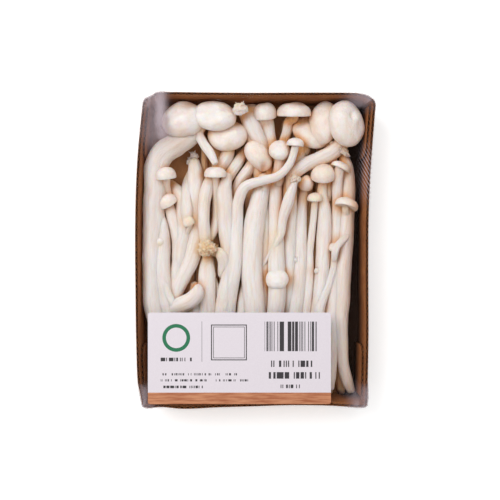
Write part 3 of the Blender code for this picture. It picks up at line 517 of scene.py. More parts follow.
def pile():
    """Every mushroom and bare stem in sight, from the bottom of the pile to its top."""
    left, inner_left, inner_right, right = CLUMPS[:4]
    return [
        # Low down in the pile
        Mushroom(left, [(-47, 38), (-41, 31), (-38.5, 22), (-39, 10), (-41, -4), (-39, -18)], (6, 8, 8, 7)),
        Mushroom(left, [(-35.6, 45), (-37, 37), (-37.4, 28), (-36.6, 16)], (4, 5.5, 6)),
        Mushroom(inner_left, [(-28, 64), (-22.6, 57), (-18, 50), (-16, 42), (-17, 34)], (3.6, 3.6)),
        Mushroom(inner_left, [(-4.5, 57), (-9, 49), (-14, 41), (-17.5, 33), (-18, 22)], (4.8, 4.8)),
        Mushroom(inner_left, [(-33, -18), (-32, -28), (-33, -40), (-33, -58)], (6, 7, 6)),
        Mushroom(right, [(27, 61), (25, 53), (22, 45), (20, 36), (20, 24), (20, 8), (19.4, -10), (19, -36)],
                 (6, 6.4, 6.2, 5.6)),
        Mushroom(inner_right, [(6.4, 31), (6.2, 18), (6.2, 4), (5.4, -12), (5, -36)], (4.6, 5.2, 5)),
        Mushroom(right, [(48.5, 56), (51, 49), (52.4, 40), (52.4, 30), (51.6, 19), (51, 8), (50.2, -4),
                         (49.2, -14), (49, -24), (47.8, -38), (48.5, -52), (50, -66), (55, -81)],
                 (5.5, 6.5, 7.2, 7.4, 7.2, 5.5, 5), lift=4),
        Mushroom(inner_right, [(-3, 70), (-1, 60), (1, 50), (3, 38), (2, 28)], (5, 4.5),
                 Cap(-1, 77.4, 11.6, 6.5, 90, 40), lift=3),
        Mushroom(right, [(46, 70), (45, 62), (44, 52), (42, 40), (41, 28)], (4.5, 4.5),
                 Cap(46, 77.4, 11, 6, 90, 40), lift=2),
        # The broad stems of the middle
        Mushroom(inner_left, [(-14.6, 42), (-16.4, 36), (-15.8, 28), (-15.2, 15), (-14, 5), (-12.6, -4),
                              (-12.6, -13), (-14.6, -22), (-16.5, -32), (-17, -44), (-17, -76)],
                 (6.5, 8, 8.6, 8, 6.8),
                 lumps=[Lump(-21, -72, 14, 8, 5)]),
        Mushroom(inner_left, [(-25.6, -2), (-26, -12), (-26, -24), (-25.8, -36), (-25.6, -55), (-25.5, -79)],
                 (7, 8.2, 8, 5.5)),
        Mushroom(inner_right, [(8, 41), (5.5, 36), (3.4, 29), (1.4, 20), (-0.2, 10), (-1, 0), (-1, -10),
                               (-0.4, -20), (0.6, -34), (1, -76)],
                 (7, 10, 10.2, 9.2, 6.8), lumps=[Lump(3, -72, 22, 8, 5)]),
        Mushroom(inner_right, [(12.8, 46), (12, 37), (11.8, 28), (12, 20), (12.2, 10), (12.2, 0), (12.2, -10),
                               (12.6, -24), (11.5, -38), (10, -74)], (5.6, 6.6, 8.2, 8.8, 7.4, 5.8)),
        Mushroom(inner_right, [(-5, -17), (-5.6, -26), (-6.4, -36), (-7, -50), (-8, -74)], (4.6, 6, 5)),
        Mushroom(right, [(37.4, 37), (38, 30), (39.4, 20), (39, 8), (38.4, -4), (37.6, -14),
                         (36, -28), (34.5, -42), (34, -77)], (3.6, 6.8, 7.2, 7, 6.4, 5.5),
                 Cap(38, 43, 13, 8, 92, 35), [Lump(34.6, -11, 3.2, 3.6, 3.0, rise=2.6, ragged=0.04),
                                              Lump(33, -72, 24, 8, 5)]),
        Mushroom(right, [(46, 42), (46, 35), (46.4, 27), (46, 16), (45.8, 4), (45.4, -8), (44.8, -18),
                         (43, -36), (42, -76)], (4.6, 5, 6.2, 6.6, 5), Cap(48, 46.5, 10.8, 4.2, 65, 0)),
        Mushroom(right, [(33, 26), (33, 20), (32.4, 12), (31.2, 4), (30.6, -4), (30.6, -14),
                         (29.4, -28), (27.8, -44), (27, -76)], (3, 3.4, 4.6, 5.2, 5.6, 5),
                 Cap(33.5, 29.6, 8.4, 4.6, 90, 12)),
        Mushroom(right, [(27.6, 33), (27, 25), (26, 14), (25.8, 4), (25.8, -6), (24.8, -16),
                         (23.4, -28), (22, -42), (23, -77)], (3.8, 5.4, 6, 6.8, 6.4, 5),
                 Cap(29, 38, 8.5, 7.5, 75, 45), [Lump(23, -5, 3.4, 3.4, 3.2, rise=1.6, ragged=0.04)]),
        # The left side
        Mushroom(left, [(-36, 62.4), (-43, 59), (-50, 54), (-55.6, 46), (-57.4, 34), (-58, 20),
                        (-58.6, 6), (-59, -8), (-57.8, -20), (-54.8, -31), (-52.5, -44), (-51, -76)],
                 (11, 11.4, 10, 9.8, 9.4, 7), Cap(-38.8, 75.8, 20.2, 11, 100, 66, oval=1.16),
                 [Lump(-44, -72, 19, 8, 5)], lift=4),
        Mushroom(left, [(-52, 21), (-50.6, 12), (-50.4, 2), (-50.8, -8), (-50, -18), (-48, -28),
                        (-45.6, -40), (-44.6, -54), (-43, -78)], (5, 8, 8.8, 8.4, 7.4, 5.5), nestle=2),
        Mushroom(left, [(-33.4, 50), (-32.6, 44), (-32.6, 34), (-32.4, 22), (-32, 12), (-32.6, 3), (-35, -5),
                        (-38.6, -13), (-42, -20), (-44, -29)],
                 (7.4, 7.4, 7.4, 7.6, 7.8, 7.6, 6), nestle=2, lumps=[
                     Lump(-33.4, 53.2, 4.6, 5.2, 4, 20, ragged=0.3), Lump(-36, 50, 4, 3, 3, 30, ragged=0.3)]),
        Mushroom(left, [(-30, -19), (-31.4, -23.6), (-35, -27), (-40, -29.4), (-46, -33)], (6, 7.5, 8, 7),
                 nestle=5),
        Mushroom(left, [(-36.8, 12), (-37.6, 4), (-38.4, -5), (-39, -12)], (2.8, 3, 3.2),
                 Cap(-36, 16.5, 6.5, 5, 110, 25), nestle=3),
        Mushroom(left, [(-48.6, 38), (-48, 33), (-46.6, 28), (-44.6, 23)], (3.9, 4.1, 3.8),
                 Cap(-48.5, 42.5, 11.5, 7, 95, 12), nestle=3),
        Mushroom(left, [(-47.4, 23.4), (-45, 18.4), (-42.6, 11.4), (-41.4, 3), (-41.4, -6), (-42.8, -15),
                        (-45, -24)], (4.8, 6, 6.6, 6.4, 5.5), Cap(-48.5, 27.8, 11.5, 6.5, 118, 20), nestle=4),
        Mushroom(left, [(-51.4, 2.6), (-51, -4), (-50, -11), (-48.8, -18), (-46, -25), (-43, -31),
                        (-40.5, -37), (-38, -60), (-38, -77)], (3, 3.2, 3.6, 4, 4.2),
                 Cap(-51.5, 5.4, 5.4, 4, 95, 22), nestle=1.5),
        # Between the left and the middle
        Mushroom(inner_left, [(-13.2, 57), (-16.4, 50.5), (-20.6, 44), (-24.6, 37), (-27, 28), (-27.4, 18),
                              (-26.8, 8), (-26, -2)], (6.4, 6.4, 5.4, 5),
                 Cap(-14.6, 64.4, 18.6, 8.5, 90, 66, oval=1.14), nestle=5),
        Mushroom(inner_left, [(-21, 39), (-20.6, 30), (-20.6, 20), (-22, 12), (-24.4, 6)],
                 (3.6, 4, 4.4, 4.2), Cap(-21, 43, 12, 6, 90, 10),
                 [Lump(-25.6, 1.6, 10, 9, 6.5, 20, ragged=0.26),
                  Lump(-21.4, -0.6, 6.4, 5.4, 5, -30, ragged=0.26)], nestle=3),
        Mushroom(inner_left, [(-20, 1), (-17.2, -3.4), (-16.6, -8.6), (-18.2, -14)], (4.8, 5.8, 4.4)),
        Mushroom(left, [(-26, 71), (-30.4, 64.6), (-27.4, 58.4), (-23.4, 52.6), (-21, 47.6)], (4.2, 4.4, 4),
                 Cap(-21.6, 77.2, 17, 8, 84, 66, oval=1.42), nestle=5.5),
        Mushroom(inner_left, [(-22, -13.5), (-20.6, -17), (-19.6, -24), (-18.6, -34), (-18, -46)],
                 (1.6, 1.8, 2.2), lumps=[Lump(-22, -13.2, 2.6, 2.6, 2.4, ragged=0.04)]),
        # The top edge
        Mushroom(right, [(29, 59), (27, 53)], (5.4, 5), Cap(32.2, 66.6, 19, 7, 60, 62, oval=1.12), nestle=3),
        Mushroom(inner_right, [(-5.6, 80), (-3.4, 75), (-1.2, 69), (2, 63), (5, 57), (7, 48), (8, 38)],
                 (9.5, 7.6, 6, 5, 4.5), lumps=[Lump(-7.4, 80.4, 8.6, 7, 5.5, 12, ragged=0.16),
                                               Lump(-1.5, 80.8, 8, 6, 5, -8, ragged=0.14)], nestle=5),
        Mushroom(inner_right, [(7.2, 73), (8, 66), (9.4, 59), (10.5, 50)], (6.4, 6, 5),
                 Cap(6, 79.6, 12.4, 9, 95, 24), nestle=4),
        Mushroom(right, [(19.8, 73), (18.2, 66), (16, 59), (14.5, 52)], (4.4, 4.2),
                 Cap(22, 79.4, 18.2, 8, 90, 12), nestle=3),
        Mushroom(right, [(41, 66), (42, 60), (43, 52)], (6, 5),
                 Cap(37.8, 72.8, 17.6, 8.5, 170, 64, oval=1.34), nestle=5),
        Mushroom(right, [(47, 57.4), (42, 54), (36.4, 51), (30.5, 48.4), (25, 45.6), (21, 40.6), (20, 33)],
                 (7.6, 7, 6.6, 6, 5), Cap(54.6, 69.4, 19.4, 9, 12, 68, oval=1.32),
                 [Lump(47.4, 56.4, 13, 4.8, 5.4, -38, rise=1, ragged=0.22)]),
        # On top
        Mushroom(inner_right, [(14.2, 50), (13.8, 43), (13.2, 36)], (4.6, 5, 5),
                 Cap(14, 55.5, 11.5, 6, 80, 62)),
        Mushroom(inner_right, [(5.4, 38), (5.4, 32)], (3.4, 3.4), Cap(5.4, 40.4, 6.6, 4, 90, 22)),
        Mushroom(inner_right, [(-0.6, 48.6), (-5, 42.4), (-9, 36), (-10, 28)], (4.8, 5, 4.4),
                 Cap(3, 53, 12.8, 8, 37, 60, oval=1.42), nestle=3),
        Mushroom(inner_left, [(21.8, 56), (20.8, 50.5), (17.8, 45), (13.5, 41), (8, 38.8), (1, 37.6),
                               (-4.4, 35.4), (-8, 30), (-9, 22), (-9.6, 12), (-9.8, 2),
                               (-10.4, -8), (-12, -18), (-13.6, -28), (-14, -42), (-12, -58)],
                 (3.4, 4, 5.2, 6.2, 6.6, 6.8, 5.5), Cap(22.5, 58.8, 9, 4.8, 85, 6), nestle=4),
        Mushroom(inner_right, [(22, 37), (20.4, 31), (17.4, 25), (15.8, 18), (14.8, 10), (12, 3.4), (8.4, -2),
                               (4.6, -9)], (4.6, 5.2, 4.6, 3.6, 2.4, 1.6),
                 lumps=[Lump(22.4, 38.6, 6, 5, 4.2, 30, ragged=0.25)]),
        Mushroom(inner_right, [(11.6, -21), (11, -27), (11, -36), (11, -60)], (4.8, 5.4, 4.6),
                 Cap(12.5, -15, 12, 5.5, 100, 72), nestle=3),
        Mushroom(right, [(51.4, 21.6), (50, 18), (47, 14.4), (43, 12.4)], (3.2, 3.4, 3.4),
                 Cap(51, 26, 12.5, 6, 75, -12), nestle=3),
        Mushroom(right, [(44, -0.6), (44, -7), (42.8, -14), (40, -20.4), (37.6, -27), (35.6, -35),
                         (36, -60)], (2.6, 3.2, 4.4, 5, 4.8), Cap(44, 2.2, 6.2, 4.2, 92, 20)),
        Mushroom(right, [(53, 10.4), (50.4, 7.4), (47.4, 4.6), (44.6, 1), (44, -5)], (2.8, 3.2, 3)),
    ]


class Nodes:
    """A node tree that grows by short calls. An input takes a value or another node's output."""

    def __init__(self, tree):
        self.tree = tree

    def fill(self, made, inputs):
        """Feeds a node's inputs, found by name or number."""
        for key, source in inputs.items():
            if isinstance(source, bpy.types.NodeSocket):
                self.tree.links.new(source, made.inputs[key])
            else:
                made.inputs[key].default_value = source

    def add(self, kind, inputs=None, **settings):
        """Adds a node with its settings and inputs, and gives its outputs."""
        made = self.tree.nodes.new(kind)
        for key, value in settings.items():
            setattr(made, key, value)
        self.fill(made, inputs or {})
        return made.outputs

    def maths(self, operation, *sources):
        """The output of a Math node."""
        return self.add("ShaderNodeMath", dict(enumerate(sources)), operation=operation)[0]

    def times(self, first, second):
        """The product of two numbers."""
        return self.maths("MULTIPLY", first, second)

    def plus(self, first, second):
        """The sum of two numbers."""
        return self.maths("ADD", first, second)

    def wave(self, angle, count, phase, size):
        """size * sin(count * angle + phase)."""
        return self.times(self.maths("SINE", self.maths("MULTIPLY_ADD", angle, count, phase)), size)

    def stored(self, geometry, name, kind, value):
        """Keeps a value on the points under a name."""
        inputs = {"Geometry": geometry, "Name": name, "Value": value}
        return self.add("GeometryNodeStoreNamedAttribute", inputs, data_type=kind, domain="POINT")[0]

    def read_back(self, name):
        """A kept number, read back on the points."""
        return self.add("GeometryNodeInputNamedAttribute", {"Name": name}, data_type="FLOAT")["Attribute"]

    def moved(self, geometry, vector, amount):
        """Geometry whose points are moved along a vector by an amount."""
        shift = self.add("ShaderNodeVectorMath", {"Vector": vector, "Scale": amount}, operation="SCALE")
        return self.add("GeometryNodeSetPosition", {"Geometry": geometry, "Offset": shift["Vector"]})[0]

    def attribute(self, name, output="Fac"):
        """A value stored on the vertices."""
        return self.add("ShaderNodeAttribute", attribute_name=name)[output]

    def place(self):
        """Object coordinates."""
        return self.add("ShaderNodeTexCoord")["Object"]

    def stretched(self, vector, scale):
        """A vector with its axes scaled."""
        return self.add("ShaderNodeMapping", {"Vector": vector, "Scale": scale})[0]

    def noise(self, vector, scale, detail=3.0, roughness=0.5):
        """A noise value on a vector."""
        inputs = {"Vector": vector, "Scale": scale, "Detail": detail, "Roughness": roughness}
        return self.add("ShaderNodeTexNoise", inputs)["Fac"]

    def span(self, value, low, high):
        """Maps low..high of a value to 0..1, clamped."""
        inputs = {"Value": value, "From Min": low, "From Max": high}
        return self.add("ShaderNodeMapRange", inputs, clamp=True)["Result"]

    def tint(self, share, first, second):
        """Mixes two colours."""
        return self.add("ShaderNodeMix", {0: share, 6: first, 7: second}, data_type="RGBA")[2]

    def relief(self, *layers):
        """Relief from heights laid on each other, each with its distance and strength."""
        normal = None
        for height, distance, strength in layers:
            inputs = {"Strength": strength, "Distance": distance, "Height": height}
            if normal is not None:
                inputs["Normal"] = normal
            normal = self.add("ShaderNodeBump", inputs)["Normal"]
        return normal


def node_group(name, source, inputs, result):
    """A geometry node group with its source, its inputs (name, kind and value) and its result."""
    tree = bpy.data.node_groups.new(name, "GeometryNodeTree")
    tree.interface.new_socket(source, in_out="INPUT", socket_type="NodeSocketGeometry")
    for key, kind, value in inputs:
        socket = tree.interface.new_socket(key, in_out="INPUT", socket_type="NodeSocket" + kind)
        if value is not None:
            socket.default_value = value
    tree.interface.new_socket(result, in_out="OUTPUT", socket_type="NodeSocketGeometry")
    return Nodes(tree)


def finish_group(nodes, geometry, material, result):
    """Ends a node group: its material is set and everything is made real."""
    painted = nodes.add("GeometryNodeSetMaterial", {"Geometry": geometry, "Material": material})[0]
    real = nodes.add("GeometryNodeRealizeInstances", {"Geometry": painted})[0]
    nodes.add("NodeGroupOutput", {result: real})
    return nodes.tree


def stem_tree():
    """A stem along its route: as thick as the route's radius, with soft lengthwise flutes and swellings."""
    nodes = node_group("stem along its route", "Route", [
        ("Ring Step", "Float", STEM_RING_STEP * MM), ("Sides", "Int", STEM_SIDES),
        ("Flute Depth", "Float", 0.05), ("Twist", "Float", 12.0), ("Phase", "Float", 0.0),
        ("Flesh", "Material", None)], "Stem")
    given = nodes.add("NodeGroupInput")
    parameter = nodes.add("GeometryNodeSplineParameter")
    radius = nodes.add("GeometryNodeInputRadius")["Radius"]
    route = nodes.add("GeometryNodeCurveSplineType", {"Curve": given["Route"]}, spline_type="CATMULL_ROM")[0]
    route = nodes.add("GeometryNodeSetSplineResolution", {"Geometry": route, "Resolution": 10})[0]
    even = {"Curve": route, "Length": given["Ring Step"]}
    route = nodes.add("GeometryNodeResampleCurve", even, mode="LENGTH")[0]
    route = nodes.stored(route, "along", "FLOAT", parameter["Length"])
    route = nodes.stored(route, "thick", "FLOAT", radius)
    circle = {"Resolution": given["Sides"], "Radius": 1.0}
    profile = nodes.add("GeometryNodeCurvePrimitiveCircle", circle, mode="RADIUS")["Curve"]
    profile = nodes.stored(profile, "around", "FLOAT", nodes.times(parameter["Factor"], 2 * math.pi))
    tube = nodes.add("GeometryNodeCurveToMesh", {"Curve": route, "Profile Curve": profile, "Scale": radius,
                                                 "Fill Caps": True})["Mesh"]
    along, thick, around = [nodes.read_back(name) for name in ("along", "thick", "around")]
    turned = nodes.maths("MULTIPLY_ADD", along, given["Twist"], given["Phase"])
    place = nodes.add("GeometryNodeInputPosition")[0]
    swelling = nodes.add("ShaderNodeTexNoise", {"Vector": place, "Scale": 95.0, "Detail": 2.0})["Fac"]
    height = nodes.maths("MULTIPLY_ADD", swelling, 3.2, -1.6)
    for count, turning, size in STEM_WAVES:
        height = nodes.plus(height, nodes.wave(around, count, nodes.times(turned, turning), size))
    height = nodes.times(nodes.times(height, given["Flute Depth"]), thick)
    fluted = nodes.moved(tube, nodes.add("GeometryNodeInputNormal")["Normal"], height)
    grain = nodes.add("ShaderNodeCombineXYZ", {
        "X": nodes.times(nodes.maths("COSINE", around), thick), "Z": nodes.times(along, GRAIN_STRETCH),
        "Y": nodes.times(nodes.maths("SINE", around), thick)})[0]
    fluted = nodes.stored(fluted, "grain", "FLOAT_VECTOR", grain)
    return finish_group(nodes, fluted, given["Flesh"], "Stem")


def flute_tree():
    """The wavy middle layer of the card, seen at a cut edge: a ribbon that swings between the two liners."""
    nodes = node_group("flutes along an edge", "Edge", [
        ("Flute Length", "Float", FLUTE_LENGTH * MM), ("Swing", "Float", FLUTE_SWING * MM),
        ("Depth", "Float", FLUTE_DEPTH * MM), ("Card", "Material", None)], "Ribbon")
    given = nodes.add("NodeGroupInput")
    length = nodes.add("GeometryNodeSplineParameter")["Length"]
    even = {"Curve": given["Edge"], "Length": nodes.maths("DIVIDE", given["Flute Length"], 8.0)}
    route = nodes.add("GeometryNodeResampleCurve", even, mode="LENGTH")[0]
    turns = nodes.maths("DIVIDE", length, given["Flute Length"])
    swing = nodes.times(nodes.wave(turns, 2 * math.pi, 0.0, 1.0), given["Swing"])
    tangent = nodes.add("GeometryNodeInputTangent")[0]
    across = nodes.add("ShaderNodeVectorMath", {0: tangent, 1: (0, 0, 1)}, operation="CROSS_PRODUCT")[0]
    line = nodes.add("GeometryNodeCurveToMesh", {"Curve": nodes.moved(route, across, swing)})[0]
    down = nodes.add("ShaderNodeCombineXYZ", {"Z": nodes.times(given["Depth"], -1.0)})[0]
    ribbon = nodes.add("GeometryNodeExtrudeMesh", {"Mesh": line, "Offset": down}, mode="EDGES")["Mesh"]
    return finish_group(nodes, ribbon, given["Card"], "Ribbon")


def linked(name, data):
    """A new object of some data, linked to the scene."""
    made = bpy.data.objects.new(name, data)
    bpy.context.scene.collection.objects.link(made)
    return made


def evaluated_mesh(made):
    """The mesh that an object shows, and the object removed."""
    bpy.context.view_layer.update()
    mesh = bpy.data.meshes.new_from_object(made.evaluated_get(bpy.context.evaluated_depsgraph_get()))
    bpy.data.objects.remove(made)
    return mesh


def swept_mesh(tree, values, points, radii=None, closed=False):
    """What a node group makes of a route through points, in millimetres."""
    curve = bpy.data.curves.new("route", "CURVE")
    curve.dimensions = "3D"
    spline = curve.splines.new("POLY")
    spline.points.add(len(points) - 1)
    spline.use_cyclic_u = closed
    for k, place in enumerate(points):
        spline.points[k].co = (*(Vector(place) * MM), 1.0)
        spline.points[k].radius = radii[k] * MM if radii is not None else 1.0
    guide = linked("route", curve)
    modifier = guide.modifiers.new("Shape", "NODES")
    modifier.node_group = tree
    for name, value in values.items():
        modifier[tree.interface.items_tree[name].identifier] = value
    return evaluated_mesh(guide)


def thickened(name, mesh, thickness, offset):
    """A sheet given its thickness."""
    sheet = linked(name, mesh)
    solid = sheet.modifiers.new("Thickness", "SOLIDIFY")
    solid.thickness = thickness * MM
    solid.offset = offset
    return evaluated_mesh(sheet)


def mesh_from(name, shape):
    """The mesh of a shape that was edited."""
    mesh = bpy.data.meshes.new(name)
    shape.to_mesh(mesh)
    shape.free()
    return mesh


def keep(mesh, name, values, kind="FLOAT"):
    """Stores a value, or a vector, for each vertex."""
    kept = mesh.attributes.new(name, kind, "POINT").data
    kept.foreach_set("value" if kind == "FLOAT" else "vector", np.asarray(values, np.float32).ravel())


def outward(mesh):
    """Welds a closed mesh and turns its faces outwards."""
    shape = bmesh.new()
    shape.from_mesh(mesh)
    bmesh.ops.remove_doubles(shape, verts=shape.verts, dist=MM * 0.004)
    bmesh.ops.recalc_face_normals(shape, faces=shape.faces)
    if shape.calc_volume(signed=True) < 0:
        bmesh.ops.reverse_faces(shape, faces=shape.faces)
    shape.to_mesh(mesh)
    shape.free()
    return mesh


def joined(name, meshes):
    """Fuses closed meshes into one skin."""
    base = linked(name, meshes[0])
    if len(meshes) > 1:
        others = bpy.data.collections.new(name + "_others")
        bpy.context.scene.collection.children.link(others)
        for mesh in meshes[1:]:
            others.objects.link(bpy.data.objects.new(name + "_other", mesh))
        union = base.modifiers.new("Join", "BOOLEAN")
        union.operation = "UNION"
        union.solver = "MANIFOLD"
        union.operand_type = "COLLECTION"
        union.collection = others
        fused = evaluated_mesh(base)
        for other in list(others.objects):
            bpy.data.objects.remove(other)
        bpy.data.collections.remove(others)
        base = linked(name, fused)
    return base


def bands(shape, rows, closed):
    """Faces between rows of vertices, each row a ring."""
    pairs = list(zip(rows, rows[1:]))
    if closed:
        pairs.append((rows[-1], rows[0]))
    count = len(rows[0])
    for here, there in pairs:
        for k in range(count):
            after = (k + 1) % count
            shape.faces.new((here[k], there[k], there[after], here[after]))


def ring_mesh(name, rings, first_pole, last_pole):
    """A closed skin through rings of equal counts, with a pole at each end."""
    shape = bmesh.new()
    rows = [[shape.verts.new(place) for place in ring] for ring in rings]
    start = shape.verts.new(first_pole)
    end = shape.verts.new(last_pole)
    bands(shape, rows, False)
    for k in range(len(rows[0])):
        shape.faces.new((start, rows[0][k - 1], rows[0][k]))
        shape.faces.new((end, rows[-1][k], rows[-1][k - 1]))
    return mesh_from(name, shape)


def stem_mesh(mushroom, tree, flesh, draw):
    """The stem, its bare end rounded and its foot cut blunt."""
    points = list(mushroom.points)
    radii = [radius + min(radius * DOWN_SHARE, DOWN_MOST) for radius in mushroom.radii]
    cap = mushroom.cap
    if cap is not None:
        points.insert(0, points[0] + cap.axis * cap.thickness * SUNK_IN_CAP * 0.8)
        radii.insert(0, radii[0])
    else:
        out = (points[0] - points[1]) / np.linalg.norm(points[0] - points[1])
        points[:0] = [points[0] + out * radii[0] * 0.42, points[0] + out * radii[0] * 0.3]
        radii[:0] = [radii[0] * 0.35, radii[0] * 0.8]
    out = (points[-1] - points[-2]) / np.linalg.norm(points[-1] - points[-2])
    points.append(points[-1] + out * radii[-1] * 0.16)
    radii.append(radii[-1] * 0.8)
    values = {"Twist": draw.uniform(-26, 26), "Phase": draw.uniform(0, 6.28), "Flesh": flesh,
              "Flute Depth": draw.uniform(0.05, 0.085)}
    return outward(swept_mesh(tree, values, points, radii))


def strand_mesh(place, direction, length, width, tree, flesh, draw):
    """A torn strand that sticks out of a broken end."""
    bend = np.array([draw.uniform(-1, 1), draw.uniform(-1, 1), draw.uniform(-0.4, 0.6)]) * length * 0.25
    points = [place + direction * length * t + bend * t * t for t in (-0.25, 0.2, 0.5, 0.8, 1.0)]
    values = {"Ring Step": 0.5 * MM, "Sides": 8, "Flesh": flesh, "Flute Depth": 0.12}
    radii = [width * share for share in (1, 1, 0.8, 0.55, 0.2)]
    return outward(swept_mesh(tree, values, points, radii))


def cap_outline():
    """A cap's outline, top to stem: shares of its radius and height, and how deep its gills are."""
    outline = []
    for angle in np.radians(np.linspace(5, 86, 20)):
        outline.append((math.sin(angle) ** 0.86, 0.3 + 0.7 * math.cos(angle), 0.0))
    outline += [(1.0, 0.26, 0), (0.995, 0.18, 0), (0.975, 0.125, 0), (0.945, 0.1, 0)]
    for share in np.linspace(0.91, 0.24, 10):
        gill = math.sin(math.pi * min(max((share - 0.2) / 0.72, 0), 1))
        outline.append((share, np.interp(share, (0.24, 0.55, 0.93), (0.2, 0.175, 0.11)), gill))
    return outline


def cap_mesh(cap, joint, flesh, draw):
    """A cap with an uneven dome, a rolled margin and gills below, placed on its stem."""
    large = cap.radius * 2 > LARGE_CAP
    sides = LARGE_CAP_SIDES if large else CAP_SIDES
    r, h = cap.radius, cap.thickness
    around = np.arange(sides) * 2 * math.pi / sides
    shifts = draw.uniform(0, 2 * math.pi, 6)
    unround = 0.022 * np.cos(2 * around + shifts[0]) + 0.016 * np.cos(3 * around + shifts[1])
    unround += (0.012 if large else 0.004) * np.cos(5 * around + shifts[2])
    rings = []
    for share, height, gill in cap_outline():
        radius = r * share * (1 + unround * min(share * 1.4, 1.0))
        x, y = radius * np.cos(around), radius * np.sin(around)
        u, v = x / r, y / r
        z = h * height - gill * min(0.05 * h, 0.5) * np.where(np.arange(sides) % 2, 1.0, -0.4)
        bumps = np.sin(u * 3.1 + shifts[3]) * np.cos(v * 2.7 + shifts[4])
        bumps += 0.5 * np.sin((u - v) * 5.3 + shifts[5])
        bumps += 0.45 * np.sin(u * 4.1 + v * 6.7 + shifts[2]) * np.cos(u * 5.9 - v * 3.3 + shifts[0])
        z += bumps * h * (0.06 if large else 0.03) * min(height, 1.0)
        for (cap_x, cap_y), (dent_x, dent_y, reach, depth) in CAP_DENTS:
            if np.hypot(*(cap.middle / SPREAD - (cap_x, cap_y))) < 2.0:
                away = np.hypot(u - dent_x, v - dent_y) / reach
                z -= depth * h * np.exp(-away ** 2) * min(height * 1.3, 1.0)
        rings.append(np.column_stack([x, y, z]))
    turn = cap.frame()
    local = np.vstack(rings + [[0, 0, h], [0, 0, h * 0.2]])
    rings = [(ring @ turn.T + joint) * MM for ring in rings]
    low = (turn @ np.array([0, 0, h * 0.2]) + joint) * MM
    mesh = ring_mesh("cap", rings, rings[0].mean(axis=0), low)
    keep(mesh, "grain", local * MM * 0.3, "FLOAT_VECTOR")
    mesh.materials.append(flesh)
    return outward(mesh)


def lump_mesh(lump, flesh, draw):
    """A torn swelling or a tiny button."""
    shape = bmesh.new()
    bmesh.ops.create_icosphere(shape, subdivisions=3 if max(lump.size) < SMALL_LUMP else 5, radius=1.0)
    shift = draw.uniform(0, 6.28, 3)
    for vertex in shape.verts:
        x, y, z = vertex.co
        torn = math.sin(5.1 * x + 2.3 * z) * math.cos(4.3 * y - 1.7 * x) + 0.5 * math.sin(7.9 * y + 3.1 * z)
        fine = math.sin(17 * x + shift[0]) * math.sin(15 * y + shift[1]) * math.sin(19 * z + shift[2])
        ridge = abs(math.sin(6.3 * x + 2 * y + shift[0])) + abs(math.sin(7.1 * y - 2.2 * z + shift[1])) - 1
        vertex.co *= (1 + lump.ragged * (0.5 * torn + 0.35 * fine - 0.5 * ridge)) * MM
    bmesh.ops.scale(shape, vec=lump.size, verts=shape.verts)
    local = [tuple(vertex.co) for vertex in shape.verts]
    shape.transform(Matrix.Translation(Vector(lump.centre * MM)) @ Matrix.Rotation(lump.turn, 4, "Z"))
    mesh = mesh_from("lump", shape)
    keep(mesh, "grain", local, "FLOAT_VECTOR")
    mesh.materials.append(flesh)
    return mesh


def build_mushroom(name, mushroom, tree, flesh, number):
    """One mushroom as one skin: stem, cap, lumps and torn strands."""
    draw = np.random.default_rng(MUSHROOM_SEED + number)
    meshes = [stem_mesh(mushroom, tree, flesh, draw)]
    if mushroom.cap is not None:
        meshes.append(cap_mesh(mushroom.cap, mushroom.points[0], flesh, draw))
    for lump in mushroom.lumps:
        meshes.append(lump_mesh(lump, flesh, draw))
        if lump.ragged > TORN:
            for _ in range(TORN_STRANDS):
                out = mushroom.points[0] - mushroom.points[1]
                heading = draw.uniform(-0.9, 0.9) + math.atan2(out[1], out[0])
                direction = np.array([math.cos(heading), math.sin(heading), draw.uniform(-0.1, 0.4)])
                start = lump.centre + direction * lump.size.min() * 0.6
                meshes.append(strand_mesh(start, direction, draw.uniform(1.6, 3.2), draw.uniform(0.3, 0.55),
                                          tree, flesh, draw))
    return joined(name, meshes)


def neighbours(grid):
    """A grid shifted by one cell to each of its four sides."""
    return [np.roll(grid, step, axis) for axis in (0, 1) for step in (1, -1)]


def height_map(mushrooms):
    """The top of the pile over a grid of cells, spread over a few cells so that it spans narrow gaps."""
    balls = np.vstack([mushroom.balls for mushroom in mushrooms])
    size = int(2 * MAP_REACH / MAP_CELL)
    top = np.zeros((size, size))
    cells = ((balls[:, :2] + MAP_REACH) / MAP_CELL).astype(int)
    np.maximum.at(top, (cells[:, 0], cells[:, 1]), balls[:, 2] + balls[:, 3])
    for _ in range(MAP_SPREAD):
        top = np.maximum.reduce([top] + neighbours(top))
    for _ in range(MAP_SOFTEN):
        top = (2 * top + sum(neighbours(top))) / 6
    return top


def patch(xy, x, y, reach_x, reach_y):
    """A soft patch in plan, 1 in its middle."""
    return np.exp(-((xy[:, 0] - x) / reach_x) ** 2 - ((xy[:, 1] - y) / reach_y) ** 4)


def spot(xy, x, y, reach):
    """A soft round spot in plan, 1 in its middle."""
    return np.exp(-(np.hypot(xy[:, 0] - x, xy[:, 1] - y) / reach) ** 2)


